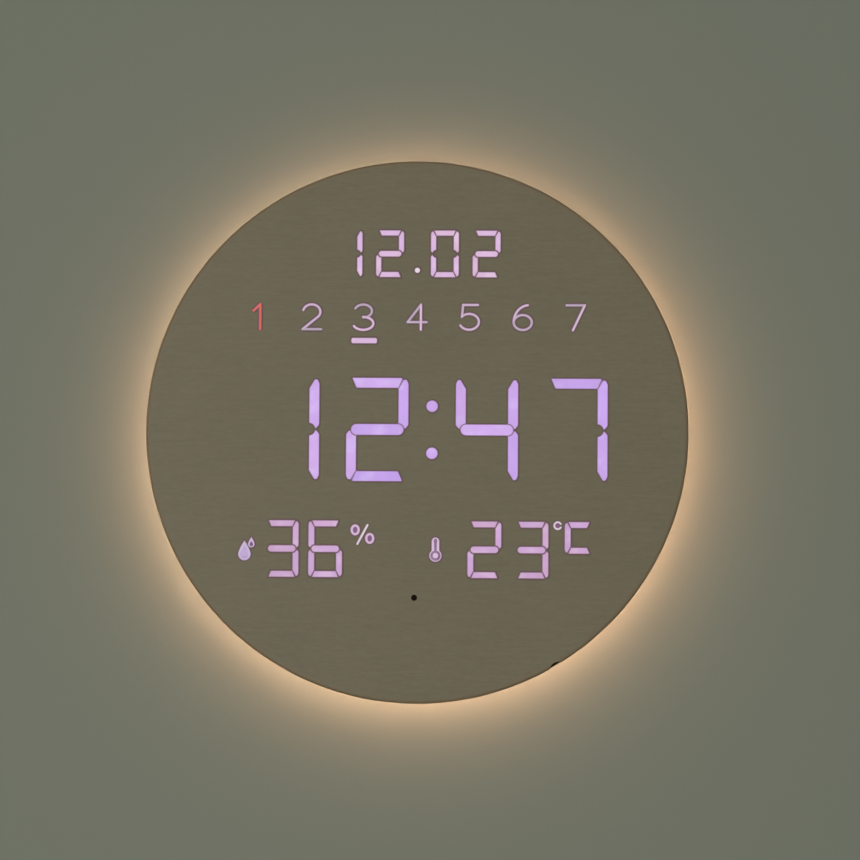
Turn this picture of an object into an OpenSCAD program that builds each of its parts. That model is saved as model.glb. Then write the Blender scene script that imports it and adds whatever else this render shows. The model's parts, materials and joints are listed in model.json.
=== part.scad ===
// Round digital wall clock: lit segments behind a brushed film, and a light behind the disc.
// Every module draws with x right, y up and z out of the wall. wall_frame() turns that into the part's frame:
// origin on the disc axis at the wall, +Z up, front towards -Y. All sizes are in millimetres.

/* [Case] */
// Diameter of the disc over its film
face_d = 380; // [376:1:420]
// Depth from the wall to the foremost lit segment
overall_depth = 34; // [34:0.5:38]
// Gap from the wall to the back of the disc
wall_gap = 20; // [19:0.5:20]
// Reach of the disc beyond the drum behind it
disc_overhang = 40; // [38:0.5:44]
// Thickness of the brushed film
film_t = 0.4; // [0.3:0.1:0.6]
// Wall of the front shell behind the film
face_wall = 3; // [2.5:0.1:3.5]
// Wall of the front shell's skirt
skirt_wall = 3; // [2.5:0.1:4]
// Radius of the rounded front edge over the film
rim_fillet = 3; // [2:0.1:4]
// Thickness of the panel that closes the back of the disc
panel_t = 2.4; // [2:0.1:2.6]
// Ledge of that panel inside the drum
panel_ledge = 12; // [11:0.5:16]
// Wall of the drum
drum_wall = 2.5; // [2:0.1:3]
// Thickness of the rear cover
cover_t = 2.4; // [2.2:0.1:2.6]
// Chamfer round the rear cover
cover_chamfer = 1; // [0.5:0.1:1.5]

/* [Rim notch] */
// Direction of the notch, from three o'clock
notch_angle = -59; // [-80:0.5:-30]
// Radius of the notch
notch_r = 5.6; // [3:0.1:6]
// Depth of the notch into the rim
notch_depth = 2.6; // [2:0.1:2.9]
// Height of the notch from the front
notch_h = 6; // [4:0.5:8]

/* [Reading shown] */
// Tens of the month
month_tens = 1; // [0:1:1]
// Units of the month
month_units = 2; // [0:1:9]
// Tens of the day
day_tens = 0; // [0:1:3]
// Units of the day
day_units = 2; // [0:1:9]
// Weekday with the lit bar, counted from the left
weekday = 3; // [1:1:7]
// Tens of the hour
hour_tens = 1; // [0:1:2]
// Units of the hour
hour_units = 2; // [0:1:9]
// Tens of the minute
minute_tens = 4; // [0:1:5]
// Units of the minute
minute_units = 7; // [0:1:9]
// Tens of the humidity
humidity_tens = 3; // [0:1:9]
// Units of the humidity
humidity_units = 6; // [0:1:9]
// Tens of the temperature
temperature_tens = 2; // [0:1:9]
// Units of the temperature
temperature_units = 3; // [0:1:9]

/* [Time row] */
// Height of a time digit
time_h = 72.2; // [66:0.2:76]
// Width of a time digit
time_w = 43.4; // [38:0.2:48]
// Stroke of a time digit
time_t = 6.9; // [5:0.1:8]
// Spacing inside a pair of time digits
time_pitch = 62.4; // [58:0.2:64]
// Spacing between the two middle time digits
time_group = 76.6; // [70:0.2:80]
// Middle of the time row across the face
time_x = 10.9; // [0:0.1:12]
// Middle of the time row up the face
time_y = 1.2; // [-1:0.1:3]
// Diameter of a colon dot
colon_d = 8; // [6:0.1:10]
// Spacing of the colon dots
colon_pitch = 32.9; // [24:0.1:40]

/* [Date row] */
// Height of a date digit
date_h = 33; // [30:0.2:34]
// Width of a date digit
date_w = 19.7; // [17:0.1:22]
// Stroke of a date digit
date_t = 3.8; // [3:0.1:4.4]
// Spacing inside a pair of date digits
date_pitch = 29.2; // [26:0.1:30]
// Spacing between the two middle date digits
date_group = 38.4; // [34:0.1:40]
// Middle of the date row up the face
date_y = 124.5; // [124:0.1:126]
// Diameter of the date point
point_d = 3.9; // [3:0.1:5]
// Drop of the date point below the middle of the row
point_drop = 11.6; // [8:0.1:14]

/* [Weekday row] */
// Spacing of the weekday marks
week_pitch = 36.95; // [34:0.05:37.2]
// Middle of the weekday marks up the face
week_y = 80; // [79:0.1:81]
// Side of the light guide behind a weekday mark
week_cell = 19.4; // [16:0.1:20]
// Width of a weekday bar
week_bar_w = 18.2; // [14:0.1:20]
// Height of a weekday bar
week_bar_h = 4; // [3:0.1:5]
// Drop of the bars below the weekday marks
week_bar_drop = 16.6; // [15.5:0.1:17]

/* [Climate row] */
// Height of a climate digit
climate_h = 39.6; // [36:0.2:41]
// Width of a climate digit
climate_w = 23.7; // [21:0.1:25]
// Stroke of a climate digit
climate_t = 4.3; // [3.5:0.1:5]
// Middle of the climate row up the face
climate_y = -82.3; // [-83:0.1:-81]
// Middle of the humidity digits across the face
humidity_x = -78.4; // [-80:0.1:-77]
// Spacing of the humidity digits
humidity_pitch = 30.4; // [28:0.1:32]
// Middle of the temperature digits across the face
temperature_x = 64.3; // [62:0.1:65]
// Spacing of the temperature digits
temperature_pitch = 32.8; // [30:0.1:33]
// Middle of the scale's letter across the face
letter_x = 113.7; // [112:0.1:114.5]
// Width of the scale's letter
letter_w = 20; // [18:0.1:20.4]
// Middle of the drop sign across the face
drop_x = -119; // [-120:0.1:-118]
// Middle of the thermometer sign across the face
thermo_x = 13.8; // [13:0.1:15]
// Middle of the percent sign across the face
percent_x = -37.7; // [-39:0.1:-36]
// Rise of the percent sign over the middle of the row
percent_rise = 10.9; // [8:0.1:12]
// Middle of the degree ring across the face
degree_x = 98.9; // [98.5:0.1:99.2]
// Rise of the degree ring over the middle of the row
degree_rise = 17; // [14:0.1:18]
// Side of the light guide behind a sign
sign_cell = 13; // [10:0.1:14]
// Height of the light guide behind the drop and the thermometer
sign_cell_h = 20; // [16:0.1:24]
// Side of the light guide behind the percent sign
percent_cell = 17; // [15:0.1:17.4]
// Side of the light guide behind the degree ring
degree_cell = 6; // [5:0.1:6]

/* [Segments] */
// Dark gap between neighbouring segments
segment_gap = 0.6; // [0.5:0.05:0.8]
// Dark gap between the upper and the lower half of a digit
half_gap = 0.75; // [0.5:0.05:1]
// Setback of a top segment's outer corners, in strokes
mitre_out = 0.6; // [0.5:0.01:0.7]
// Setback of a top segment's inner corners, in strokes
mitre_in = 1.02; // [0.95:0.01:1.1]
// End radius of a middle segment, in strokes
middle_round = 0.55; // [0.45:0.01:0.6]
// Setback of a middle segment's end, in strokes
middle_inset = 0.48; // [0.4:0.01:0.6]
// Setback of an upright's tip across, on its inner side, in strokes
tip_in_x = 0.45; // [0.4:0.01:0.5]
// Setback of an upright's tip down, on its inner side, in strokes
tip_in_y = 0.16; // [0.1:0.01:0.2]
// Setback of an upright's tip across, on its outer side, in strokes
tip_out_x = 0.18; // [0.1:0.01:0.3]
// Setback of an upright's tip down, on its outer side, in strokes
tip_out_y = 0.2; // [0.1:0.01:0.3]
// Setback of an upright's shoulder down, in strokes
shoulder_y = 0.58; // [0.5:0.01:0.7]
// Setback of an upright's waist across, in strokes
waist_x = 0.3; // [0.2:0.01:0.4]
// Height of an upright's waist over the middle, in strokes
waist_y = 0.47; // [0.4:0.01:0.6]
// Depth of a light guide behind the film
guide_depth = 3; // [2:0.1:4]
// Play between a light guide and its cell
guide_fit = 0.1; // [0.05:0.01:0.15]
// Height of a lit segment over the film
lens_proud = 0.1; // [0.1:0.05:0.2]
// Gap between a dark guide and the film
guide_gap = 0.1; // [0.05:0.05:0.3]
// Margin of a reflector block round its cells
block_margin = 4.6; // [4:0.1:5]
// Play between a reflector block and the front shell
block_fit = 0.3; // [0.2:0.05:0.5]

/* [Sensor hole] */
// Diameter of the sensor hole
sensor_d = 4.2; // [3:0.1:6]
// Distance of the sensor hole below the middle
sensor_drop = 116; // [115:0.5:118]
// Distance of the sensor hole to the left of the middle
sensor_left = 0.9; // [0:0.1:1.5]
// Play round the smoked window
window_fit = 0.1; // [0.05:0.05:0.2]
// Depth of the smoked window below the film's front
window_sink = 0.6; // [0.4:0.1:1]
// Length of the smoked window
window_len = 2.4; // [2:0.1:2.8]
// Side of the infrared receiver
receiver_side = 6; // [5:0.1:7]
// Height of the infrared receiver
receiver_h = 4.4; // [4:0.1:4.8]
// Height of the receiver's lens over its body
receiver_dome = 1; // [0.6:0.1:1.2]
// Setback of the receiver's lens from the body's sides
receiver_rim = 0.6; // [0.4:0.1:0.8]

/* [Display board] */
// Gap between the display board and the frame bosses
board_gap = 4.5; // [4:0.1:5]
// Thickness of a circuit board
board_t = 1.6; // [1.2:0.1:1.6]
// Height of the posts that carry the display board
board_post_h = 5; // [5:0.1:5.2]
// Radius of those posts
board_post_r = 3.5; // [3:0.1:4]
// Distance of the outer board posts from the middle
post_far_x = 90; // [88:0.5:92]
// Distance of the highest and lowest board posts from the middle
post_near_x = 45; // [43:0.5:47]
// Distance of the lowest board posts below the sensor hole
post_drop = 6; // [5:0.5:8]
// Size of an LED chip behind a segment
led_chip = [1.6, 0.8, 0.6]; // [0.4:0.1:2]
// Size of a driver chip
driver_chip = [10, 7, 1.8]; // [1:0.1:12]
// Distance of the driver chips from the middle, across the face
driver_x = 60; // [56:1:64]
// Distance of the upper driver chips above the disc axis
driver_rise = 60; // [58:1:64]
// Distance of the lower driver chips below the disc axis
driver_drop = 70; // [66:1:74]
// Size of the climate sensor
climate_chip = [5, 5, 1.1]; // [0.8:0.1:6]
// Size of a ribbon connector
ribbon_plug = [22, 6, 3]; // [2:0.5:24]
// Width of the ribbon cable
ribbon_w = 20; // [16:1:21]
// Thickness of the ribbon cable
ribbon_t = 0.4; // [0.3:0.1:0.6]
// Middle of the ribbon cable across the face
ribbon_x = -30; // [-32:0.5:-28]
// Reach of the ribbon cable up the face
ribbon_reach = 20; // [18:0.5:22]
// Inset of its plug from the control board's upper edge
ribbon_inset = 5; // [4:0.5:6]
// Length of the ribbon cable's straight ends
ribbon_lead = 6.6; // [5:0.1:7]

/* [Light behind the disc] */
// Width of the light strip
strip_w = 8; // [6:0.5:9]
// Thickness of the light strip
strip_t = 0.3; // [0.2:0.1:0.4]
// Glue line under the light strip
strip_glue = 0.15; // [0.1:0.05:0.2]
// Height of the strip's middle off the wall
strip_z = 13; // [12.5:0.1:13.5]
// Number of LED chips on the strip
strip_leds = 96; // [48:1:120]
// Size of an LED chip on the strip: along the rim, off the wall, out from the strip
strip_chip = [3.5, 2.8, 0.8]; // [0.6:0.1:4]
// Solder under an LED chip of the strip
solder_t = 0.05; // [0.02:0.01:0.1]
// Gap between the drum and the opal diffuser
diffuser_gap = 6.5; // [5:0.1:8]
// Wall of the opal diffuser
diffuser_t = 1.5; // [1:0.1:2]
// Height of the lip that carries the diffuser off the wall
lip_z = 5.6; // [5.6:0.1:6]
// Thickness of that lip
lip_t = 1.6; // [1.4:0.1:2]
// Edge of that lip beyond the diffuser
lip_edge = 1; // [0.8:0.1:1.4]
// Depth of the diffuser's groove
groove_depth = 0.7; // [0.5:0.1:0.9]
// Play of the diffuser in its groove
groove_fit = 0.15; // [0.1:0.05:0.3]

/* [Hanger] */
// Gap between the drum's inside and the hanger plate
hanger_gap = 16.5; // [14:0.5:20]
// Radius of the keyhole's entry
keyhole_r = 5; // [4.5:0.1:5.5]
// Half width of the keyhole's slot
keyslot_r = 2.5; // [2:0.1:2.6]
// Length of the keyhole's slot
keyslot_len = 14; // [10:0.5:16]
// Width of the hanger plate
hanger_w = 52; // [48:1:56]
// Height of the hanger plate
hanger_h = 36; // [34:1:38]
// Thickness of the hanger plate
hanger_t = 1.5; // [1.2:0.1:1.6]
// Thickness of the pad behind the hanger plate
pad_t = 2; // [1.5:0.1:3]
// Margin of that pad round the plate
pad_margin = 2; // [1.5:0.1:3]
// Room beside the keyhole behind the plate
keyroom_side = 3; // [2:0.1:4]
// Room beyond the ends of the keyhole behind the plate
keyroom_end = 2; // [1.5:0.1:3]
// Spacing of the hanger screws
hanger_pitch = 38; // [36:0.5:40]

/* [Power inlet] */
// Inside width of the inlet cup
cup_w = 22; // [18:0.5:24]
// Distance of the inlet cup from the drum's inside
cup_gap = 4.5; // [4:0.1:6]
// Inside length of the inlet cup
cup_len = 47; // [44:0.5:47]
// Depth of the inlet cup from the wall
cup_depth = 15; // [14.5:0.1:15.5]
// Wall of the inlet cup
cup_wall = 1.8; // [1.5:0.1:2]
// Half width of the cord way
cord_half = 4; // [3:0.1:5]
// Depth of the cord way from the wall
cord_depth = 5.4; // [5:0.1:5.4]
// Height of the jack's axis off the wall
jack_z = 8.8; // [8.6:0.1:9]
// Bore of the jack
jack_bore_d = 5.8; // [5.5:0.1:6.2]
// Diameter of the jack's centre pin
jack_pin_d = 2.1; // [2:0.1:2.5]
// Diameter of the jack's barrel
jack_barrel_d = 8; // [7.6:0.1:8.4]
// Length of the jack's barrel
jack_len = 15; // [14:0.5:17]
// Diameter of the jack's front flange
jack_flange_d = 11; // [10:0.1:11.4]
// Thickness of the jack's front flange
jack_flange_t = 1.5; // [1:0.1:2]
// Width of the jack's nut over its flats
jack_nut_af = 11; // [10:0.1:11.4]
// Thickness of the jack's nut
jack_nut_t = 2.5; // [2:0.1:3]
// Floor of the jack's bore
jack_floor = 2.5; // [2:0.1:3]
// Setback of the pin from the jack's front
jack_pin_sink = 0.6; // [0.4:0.1:1]
// Diameter of the pin's tail
jack_tail_d = 1.5; // [1.2:0.1:1.6]
// Play round the pin's tail
jack_tail_fit = 0.1; // [0.05:0.05:0.2]
// Length of the tail behind the jack
jack_tail_len = 3; // [2:0.5:4]
// Radius of a lead inside the case
lead_r = 0.7; // [0.5:0.1:0.8]
// Half the spacing of the light's leads
light_lead_half = 0.85; // [0.8:0.05:1]
// Radius of the hole in the drum for the light's leads
lead_hole_r = 2.1; // [2:0.1:2.6]
// Half the spacing of the power leads
power_lead_half = 2.2; // [2:0.1:2.4]
// Height of the power leads off the wall
power_lead_z = 7; // [6.8:0.1:7.4]

/* [Control board] */
// Width of the control board
ctrl_w = 124; // [122:1:128]
// Height of the control board
ctrl_h = 66; // [64:1:70]
// Middle of the control board up the face
ctrl_y = -4; // [-5:0.5:-3]
// Back of the control board off the wall
ctrl_z = 9; // [9:0.1:9.4]
// Inset of the control board's screws from its corners
ctrl_inset = 5; // [4.5:0.1:6]
// Radius of the posts that carry the control board
ctrl_post_r = 3.5; // [3:0.1:4]
// Side of the microcontroller
mcu_side = 12; // [10:0.5:14]
// Middle of the microcontroller across the face
mcu_x = 14; // [12:0.5:16]
// Thickness of the microcontroller
mcu_t = 1.5; // [1.2:0.1:1.8]
// Diameter of the buzzer
buzzer_d = 12; // [10:0.5:14]
// Height of the buzzer
buzzer_h = 7.5; // [6:0.1:8]
// Middle of the buzzer across the face
buzzer_x = -34; // [-36:0.5:-30]
// Radius of the buzzer's sound hole
buzzer_hole_r = 1; // [0.8:0.1:1.4]
// Depth of the buzzer's sound hole
buzzer_hole_depth = 2; // [1.5:0.1:3]
// Drop of the power parts below the control board's middle
supply_drop = 20; // [18:0.5:22]
// Inset of the capacitors from the control board's side
cap_inset = 15; // [14:0.5:16]
// Spacing of the capacitors
cap_pitch = 11; // [10:0.1:12]
// Diameter of a capacitor
cap_d = 8; // [6:0.1:9]
// Height of a capacitor
cap_h = 8.5; // [7:0.1:9]
// Size of the regulator
regulator = [9, 6.6, 2.3]; // [2:0.1:10]
// Middle of the regulator across the face
regulator_x = 22; // [20:0.5:24]
// Start of the clock crystal across the face
crystal_x = 30; // [28:0.5:32]
// Rise of the clock crystal over the control board's middle
crystal_rise = 8; // [6:0.5:10]
// Diameter of the clock crystal
crystal_d = 3; // [2:0.1:3.4]
// Length of the clock crystal
crystal_len = 8; // [6:0.1:9]
// Size of a lead connector
lead_plug = [8, 6, 5]; // [4:0.1:9]

/* [Buttons] */
// Middle of the first of four buttons across the face
button_x = 10; // [9:0.5:11]
// Spacing of the buttons
button_pitch = 14; // [13:0.5:14.5]
// Radius of a button cap
button_r = 4; // [3.5:0.1:4.2]
// Play round a button cap
button_fit = 0.3; // [0.25:0.05:0.4]
// Setback of a button cap from the wall
button_sink = 0.4; // [0.3:0.1:0.6]
// Depth of the bay round the buttons
bay_depth = 1; // [0.8:0.1:1.2]
// Margin of the bay round the buttons' middles
bay_margin = 7; // [6:0.5:7]
// Flange of a button cap beyond its radius
button_flange = 1.1; // [0.9:0.1:1.2]
// Thickness of that flange
button_flange_t = 1; // [0.8:0.1:1.2]
// Play between the flange and the rear cover
button_rest = 0.1; // [0.05:0.05:0.2]
// Radius of a button's stem
button_stem_r = 1.6; // [1.4:0.1:1.8]
// Travel of a button
button_travel = 0.5; // [0.3:0.05:0.6]
// Side of a tact switch
switch_side = 6; // [5.6:0.1:6.2]
// Height of a tact switch
switch_h = 3.4; // [3.2:0.1:3.6]
// Radius of a switch plunger
plunger_r = 1.5; // [1.2:0.1:1.7]
// Part of the plunger outside its switch
plunger_out = 1; // [0.8:0.1:1.2]
// Part of the plunger inside its switch
plunger_in = 0.8; // [0.6:0.1:1]
// Play round a plunger
plunger_fit = 0.3; // [0.25:0.05:0.4]

/* [Battery] */
// Middle of the coin cell across the face
cell_x = -34; // [-36:0.5:-32]
// Diameter of the coin cell
cell_d = 20; // [20:1:20]
// Thickness of the coin cell
cell_t = 3.2; // [3:0.1:3.2]
// Play round the coin cell
cell_fit = 0.3; // [0.2:0.1:0.5]
// Wall of the coin cell holder
holder_wall = 2; // [1.5:0.1:2.2]
// Base of the coin cell holder
holder_base = 0.9; // [0.8:0.1:1]
// Thickness of the coin cell's contact leaf
contact_t = 0.2; // [0.2:0.05:0.3]
// Length of that contact leaf
contact_len = 16; // [14:0.5:18]
// Width of that contact leaf
contact_w = 4; // [3:0.5:6]
// Radius of the battery door
door_r = 15.5; // [15:0.1:16]
// Thickness of the battery door's disc
door_t = 1; // [0.9:0.1:1.1]
// Setback of the battery door from the wall
door_sink = 0.2; // [0.15:0.05:0.3]
// Radius of the door's hub
door_hub_r = 11.8; // [11.4:0.1:12]
// Reach of a door lug beyond the hub
lug_reach = 2.2; // [2:0.1:2.4]
// Width of a door lug as an angle
lug_angle = 28; // [24:1:32]
// Play of a door lug in its notch, as an angle
lug_play = 2; // [1.5:0.5:3]
// Play between a door lug and the rear cover
lug_rest = 0.15; // [0.1:0.05:0.2]
// Thickness of a door lug
lug_t = 1.1; // [1:0.1:1.2]
// Play round the door and its lugs
door_fit = 0.3; // [0.25:0.05:0.35]
// Turn of the door from locked to free
door_turn = 45; // [40:1:50]
// Width of the coin slot in the door
coin_slot_w = 1.8; // [1.4:0.1:2.2]
// Depth of the coin slot in the door
coin_slot_depth = 0.6; // [0.4:0.1:0.7]
// Length of the coin slot in the door
coin_slot_len = 16; // [12:0.5:20]

/* [Screws] */
// Radius of a screw's shank
screw_r = 1.25; // [1.2:0.05:1.3]
// Radius of a pilot hole
pilot_r = 1.45; // [1.4:0.05:1.5]
// Radius of a clearance hole
clear_r = 1.7; // [1.6:0.05:1.9]
// Radius of a screw head
head_r = 2.8; // [2.6:0.1:3]
// Height of a pan head
head_h = 1.6; // [1.4:0.1:1.7]
// Height of a countersunk head
csk_h = 1.4; // [1.3:0.1:1.5]
// Play round a countersunk head
csk_fit = 0.2; // [0.15:0.05:0.25]
// Setback of a countersunk head from its face
csk_sink = 0.1; // [0.05:0.05:0.2]
// Width of the cross slot in a head
cross_w = 0.7; // [0.5:0.1:0.9]
// Length of the cross slot in a head
cross_len = 3.9; // [3.4:0.1:4.4]
// Depth of the cross slot in a head
cross_depth = 0.8; // [0.6:0.1:1]
// Distance of the frame screws from the skirt's inside
frame_inset = 10.1; // [9.5:0.1:11]
// Number of frame screws
frame_screws_n = 8; // [6:1:10]
// Radius of a frame boss
frame_boss_r = 4; // [3.5:0.1:4.2]
// Length of a frame screw
frame_screw_len = 8; // [7:0.5:9]
// Number of drum ears
drum_ears_n = 6; // [6:1:6]
// Setback of a drum ear from the drum's inside
ear_inset = 3; // [2.5:0.1:3.4]
// Radius of a drum ear
ear_r = 4.6; // [4.4:0.1:5]
// Length of a housing screw
housing_screw_len = 8; // [7:0.5:8.5]
// Length of a board screw
board_screw_len = 6; // [5:0.5:6.5]
// Length of a hanger screw
hanger_screw_len = 8; // [7:0.5:9]
// Play between a boss end and the floor of its pilot hole
pilot_spare = 1; // [0.5:0.1:1.2]
// Floor of a closed pilot hole
boss_floor = 1; // [0.8:0.1:1.5]
// General play between shells
fit_gap = 0.2; // [0.15:0.05:0.3]
// Width of a vent slot
vent_w = 1.6; // [1.2:0.1:2]
// Length of a vent slot
vent_len = 6.4; // [5:0.1:6.6]
// Spacing of the vent slots
vent_pitch = 3.2; // [2.8:0.1:4]
// Number of vent slots
vents_n = 7; // [5:1:9]
// Gap between the vents and the lip of the diffuser
vent_gap = 1.2; // [1:0.1:1.4]

/* [Output] */
// Sub-part to draw

/* [Hidden] */
$fn = 96;
eps = 0.01;
// Disc that the sizes of the display are given for
display_disc = 380;
display_k = face_d / display_disc;
buttons_n = 4;
lugs_n = 3;
days = 7;
over = 1;
z_film_front = overall_depth - lens_proud;
z_film_back = z_film_front - film_t;
z_face_back = z_film_back - face_wall;
z_board_front = z_face_back - board_post_h;
z_board_back = z_board_front - board_t;
z_panel_back = wall_gap;
z_panel_front = wall_gap + panel_t;
z_guide_back = z_film_back - guide_depth;
z_ctrl_front = ctrl_z + board_t;
z_pad_front = cover_t + pad_t;
face_r = face_d / 2;
shell_r = face_r - film_t;
shell_fillet = rim_fillet - film_t;
shell_in_r = shell_r - skirt_wall;
panel_r = shell_in_r - fit_gap;
film_flat_r = face_r - rim_fillet - over;
drum_r = face_r - disc_overhang;
drum_in_r = drum_r - drum_wall;
ear_ring_r = drum_in_r - ear_inset;
panel_open_r = drum_r - panel_ledge;
diffuser_r = drum_r + diffuser_gap;
strip_in_r = drum_r + strip_glue;
strip_out_r = strip_in_r + strip_t;
lip_r = diffuser_r + diffuser_t + lip_edge;
vent_drop = lip_r + vent_gap + vent_len / 2;
frame_ring_r = shell_in_r - frame_inset;
board_r = frame_ring_r - frame_boss_r - board_gap;
frame_start = 180 / frame_screws_n;
block_bars_y = (time_y + time_h / 2 + week_y - week_bar_drop - week_bar_h / 2) / 2;
lower_bars_y = (time_y - time_h / 2 + climate_y + climate_h / 2) / 2;
sensor_x = -display_k * sensor_left;
sensor_y = -display_k * sensor_drop;
low_posts_y = -sensor_drop - post_drop;
upper_bars_y = (week_y + week_cell / 2 + date_y - date_h / 2) / 2;
board_posts = display_k * [
    [-post_far_x, block_bars_y], [0, block_bars_y], [post_far_x, block_bars_y],
    [-post_far_x, lower_bars_y], [0, lower_bars_y], [post_far_x, lower_bars_y],
    [-post_near_x, upper_bars_y], [post_near_x, upper_bars_y],
    [-post_near_x, low_posts_y], [post_near_x, low_posts_y]
];
ctrl_posts = [for (sx = [-1, 1], sy = [-1, 1])
    [sx * (ctrl_w / 2 - ctrl_inset), ctrl_y + sy * (ctrl_h / 2 - ctrl_inset)]];
cup_y = cup_gap - drum_in_r;
cup_top = -cup_y - cup_len;
jack_y = -cup_top - jack_flange_t;
hanger_mid_y = drum_in_r - hanger_gap - hanger_h / 2;
hang_y = hanger_mid_y - keyslot_len / 2;
keyroom_x = keyhole_r + keyroom_side;
z_hanger = csk_sink;
z_door_in = door_sink + door_t;
z_lug = cover_t + lug_rest;
z_flange = cover_t + button_rest;
z_switch = ctrl_z - switch_h;
z_plunger = z_switch - plunger_out;
z_holder = ctrl_z - holder_base - contact_t - cell_t;
ribbon_y0 = ctrl_y + ctrl_h / 2 - ribbon_inset;
ribbon_y1 = ribbon_y0 + ribbon_reach;
light_lead_y = ctrl_y + ctrl_h / 4;
light_plug_x = ctrl_w / 2 - lead_plug[0];
power_plug_y = ctrl_y - ctrl_h / 2 + lead_plug[1];
jack_end_y = jack_y + jack_len;
bay_w = (buttons_n - 1) * button_pitch + 2 * bay_margin;

// Lit segments of each digit
segment_table = ["abcdef", "bc", "abged", "abgcd", "fgbc", "afgcd", "afgedc", "abc",
    "abcdefg", "abcdfg"];

function pair_x(mid, pitch, group) =
    [mid - group / 2 - pitch, mid - group / 2, mid + group / 2, mid + group / 2 + pitch];
function cells(xs, y, w, h, t, values) = [for (i = [0 : len(xs) - 1])
    concat(display_k * [xs[i], y, w, h, t], values[i])];
function is_lit(value, s) = len(search(s, segment_table[value])) > 0;

date_cells = cells(pair_x(0, date_pitch, date_group), date_y, date_w, date_h, date_t,
    [month_tens, month_units, day_tens, day_units]);
time_cells = cells(pair_x(time_x, time_pitch, time_group), time_y, time_w, time_h, time_t,
    [hour_tens, hour_units, minute_tens, minute_units]);
humidity_cells = cells([humidity_x - humidity_pitch / 2, humidity_x + humidity_pitch / 2], climate_y,
    climate_w, climate_h, climate_t, [humidity_tens, humidity_units]);
temperature_cells = cells([temperature_x - temperature_pitch / 2, temperature_x + temperature_pitch / 2],
    climate_y, climate_w, climate_h, climate_t, [temperature_tens, temperature_units]);
letter_size = display_k * [letter_w, climate_h / 2 + middle_round * climate_t, climate_t];
letter_at = [display_k * letter_x, display_k * (climate_y + climate_h / 2) - letter_size[1] / 2];

module wall_frame() { rotate([90, 0, 0]) children(); }

module slab(z0, z1) { translate([0, 0, z0]) linear_extrude(height = z1 - z0) children(); }

module ring(r_out, r_in, z0, z1) {
    slab(z0, z1) difference() {
        circle(r_out);
        circle(r_in);
    }
}

module peg(r, z0, z1) { translate([0, 0, z0]) cylinder(h = z1 - z0, r = r); }

module around(n, r, start) {
    for (i = [0 : n - 1]) rotate(start + i * 360 / n) translate([r, 0, 0]) children();
}

module at_each(points) {
    for (p = points) translate([p[0], p[1], 0]) children();
}

module chip(size, z0) { translate([-size[0] / 2, -size[1] / 2, z0]) cube(size); }

// Half section of a disc with a rounded front edge
module edge_section(r, z0, z1, fillet) {
    translate([0, z0]) square([r - fillet, z1 - z0]);
    translate([0, z0]) square([r, z1 - z0 - fillet]);
    translate([r - fillet, z1 - fillet]) circle(fillet);
}

// Screws stand with the shank along +z and the head's underside or face at z = 0
module cross_slot() {
    for (a = [0, 90]) rotate(a) translate([-cross_len / 2, -cross_w / 2, 0])
        cube([cross_len, cross_w, cross_depth]);
}

module pan_screw(len) {
    difference() {
        union() {
            peg(head_r, -head_h, 0);
            peg(screw_r, -eps, len);
        }
        translate([0, 0, -head_h - eps]) cross_slot();
    }
}

module csk_screw(len) {
    difference() {
        union() {
            cylinder(h = csk_h, r1 = head_r, r2 = screw_r);
            peg(screw_r, csk_h - eps, len);
        }
        translate([0, 0, -eps]) cross_slot();
    }
}

module csk_hole(len) {
    translate([0, 0, -csk_sink]) cylinder(h = csk_h + csk_sink, r1 = head_r + csk_fit, r2 = clear_r);
    peg(clear_r, -over, len);
}

module flipped(z) { translate([0, 0, z]) mirror([0, 0, 1]) children(); }

// Seven segment shapes round the middle of a digit, grown by g on every side
module top_segment(w, h, t, g) {
    a = w / 2 - mitre_out * t + g;
    b = w / 2 - mitre_in * t + g;
    polygon([[-a, h / 2 + g], [a, h / 2 + g], [b, h / 2 - t - g], [-b, h / 2 - t - g]]);
}

module middle_segment(w, t, g) {
    r = middle_round * t;
    x = w / 2 - middle_inset * t - r;
    translate([-x, -r - g]) square([2 * x, 2 * (r + g)]);
    for (s = [-1, 1]) translate([s * x, 0]) circle(r + g);
}

module upper_right_segment(w, h, t, g) {
    r = middle_round * t;
    difference() {
        polygon([
            [w / 2 - t - g, h / 2 - t - segment_gap],
            [w / 2 - tip_in_x * t - g, h / 2 - tip_in_y * t + g / 2],
            [w / 2 - tip_out_x * t + g / 2, h / 2 - tip_out_y * t + g],
            [w / 2 + g, h / 2 - shoulder_y * t],
            [w / 2 + g, waist_y * t],
            [w / 2 - waist_x * t + g / 2, half_gap - g],
            [w / 2 - t - g, half_gap - g]
        ]);
        translate([w / 2 - middle_inset * t - r, 0]) circle(r + segment_gap - g);
    }
}

// An upright with a mitred tip at both ends
module right_bar(w, h, t, g) {
    tip = [
        [w / 2 - t - g, h / 2 - t - segment_gap], [w / 2 - tip_in_x * t - g, h / 2 - tip_in_y * t + g / 2],
        [w / 2 - tip_out_x * t + g / 2, h / 2 - tip_out_y * t + g], [w / 2 + g, h / 2 - shoulder_y * t]
    ];
    polygon(concat(tip, [for (i = [3 : -1 : 0]) [tip[i][0], -tip[i][1]]]));
}

// The letter beside the degree ring, in three strokes
module letter(g) {
    w = letter_size[0];
    h = letter_size[1];
    t = letter_size[2];
    translate(letter_at) {
        for (m = [0, 1]) mirror([0, m]) top_segment(w, h, t, g);
        mirror([1, 0]) right_bar(w, h, t, g);
    }
}

module segment(s, w, h, t, g) {
    if (s == "a") top_segment(w, h, t, g);
    if (s == "b") upper_right_segment(w, h, t, g);
    if (s == "c") mirror([0, 1]) upper_right_segment(w, h, t, g);
    if (s == "d") mirror([0, 1]) top_segment(w, h, t, g);
    if (s == "e") rotate(180) upper_right_segment(w, h, t, g);
    if (s == "f") mirror([1, 0]) upper_right_segment(w, h, t, g);
    if (s == "g") middle_segment(w, t, g);
}

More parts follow.
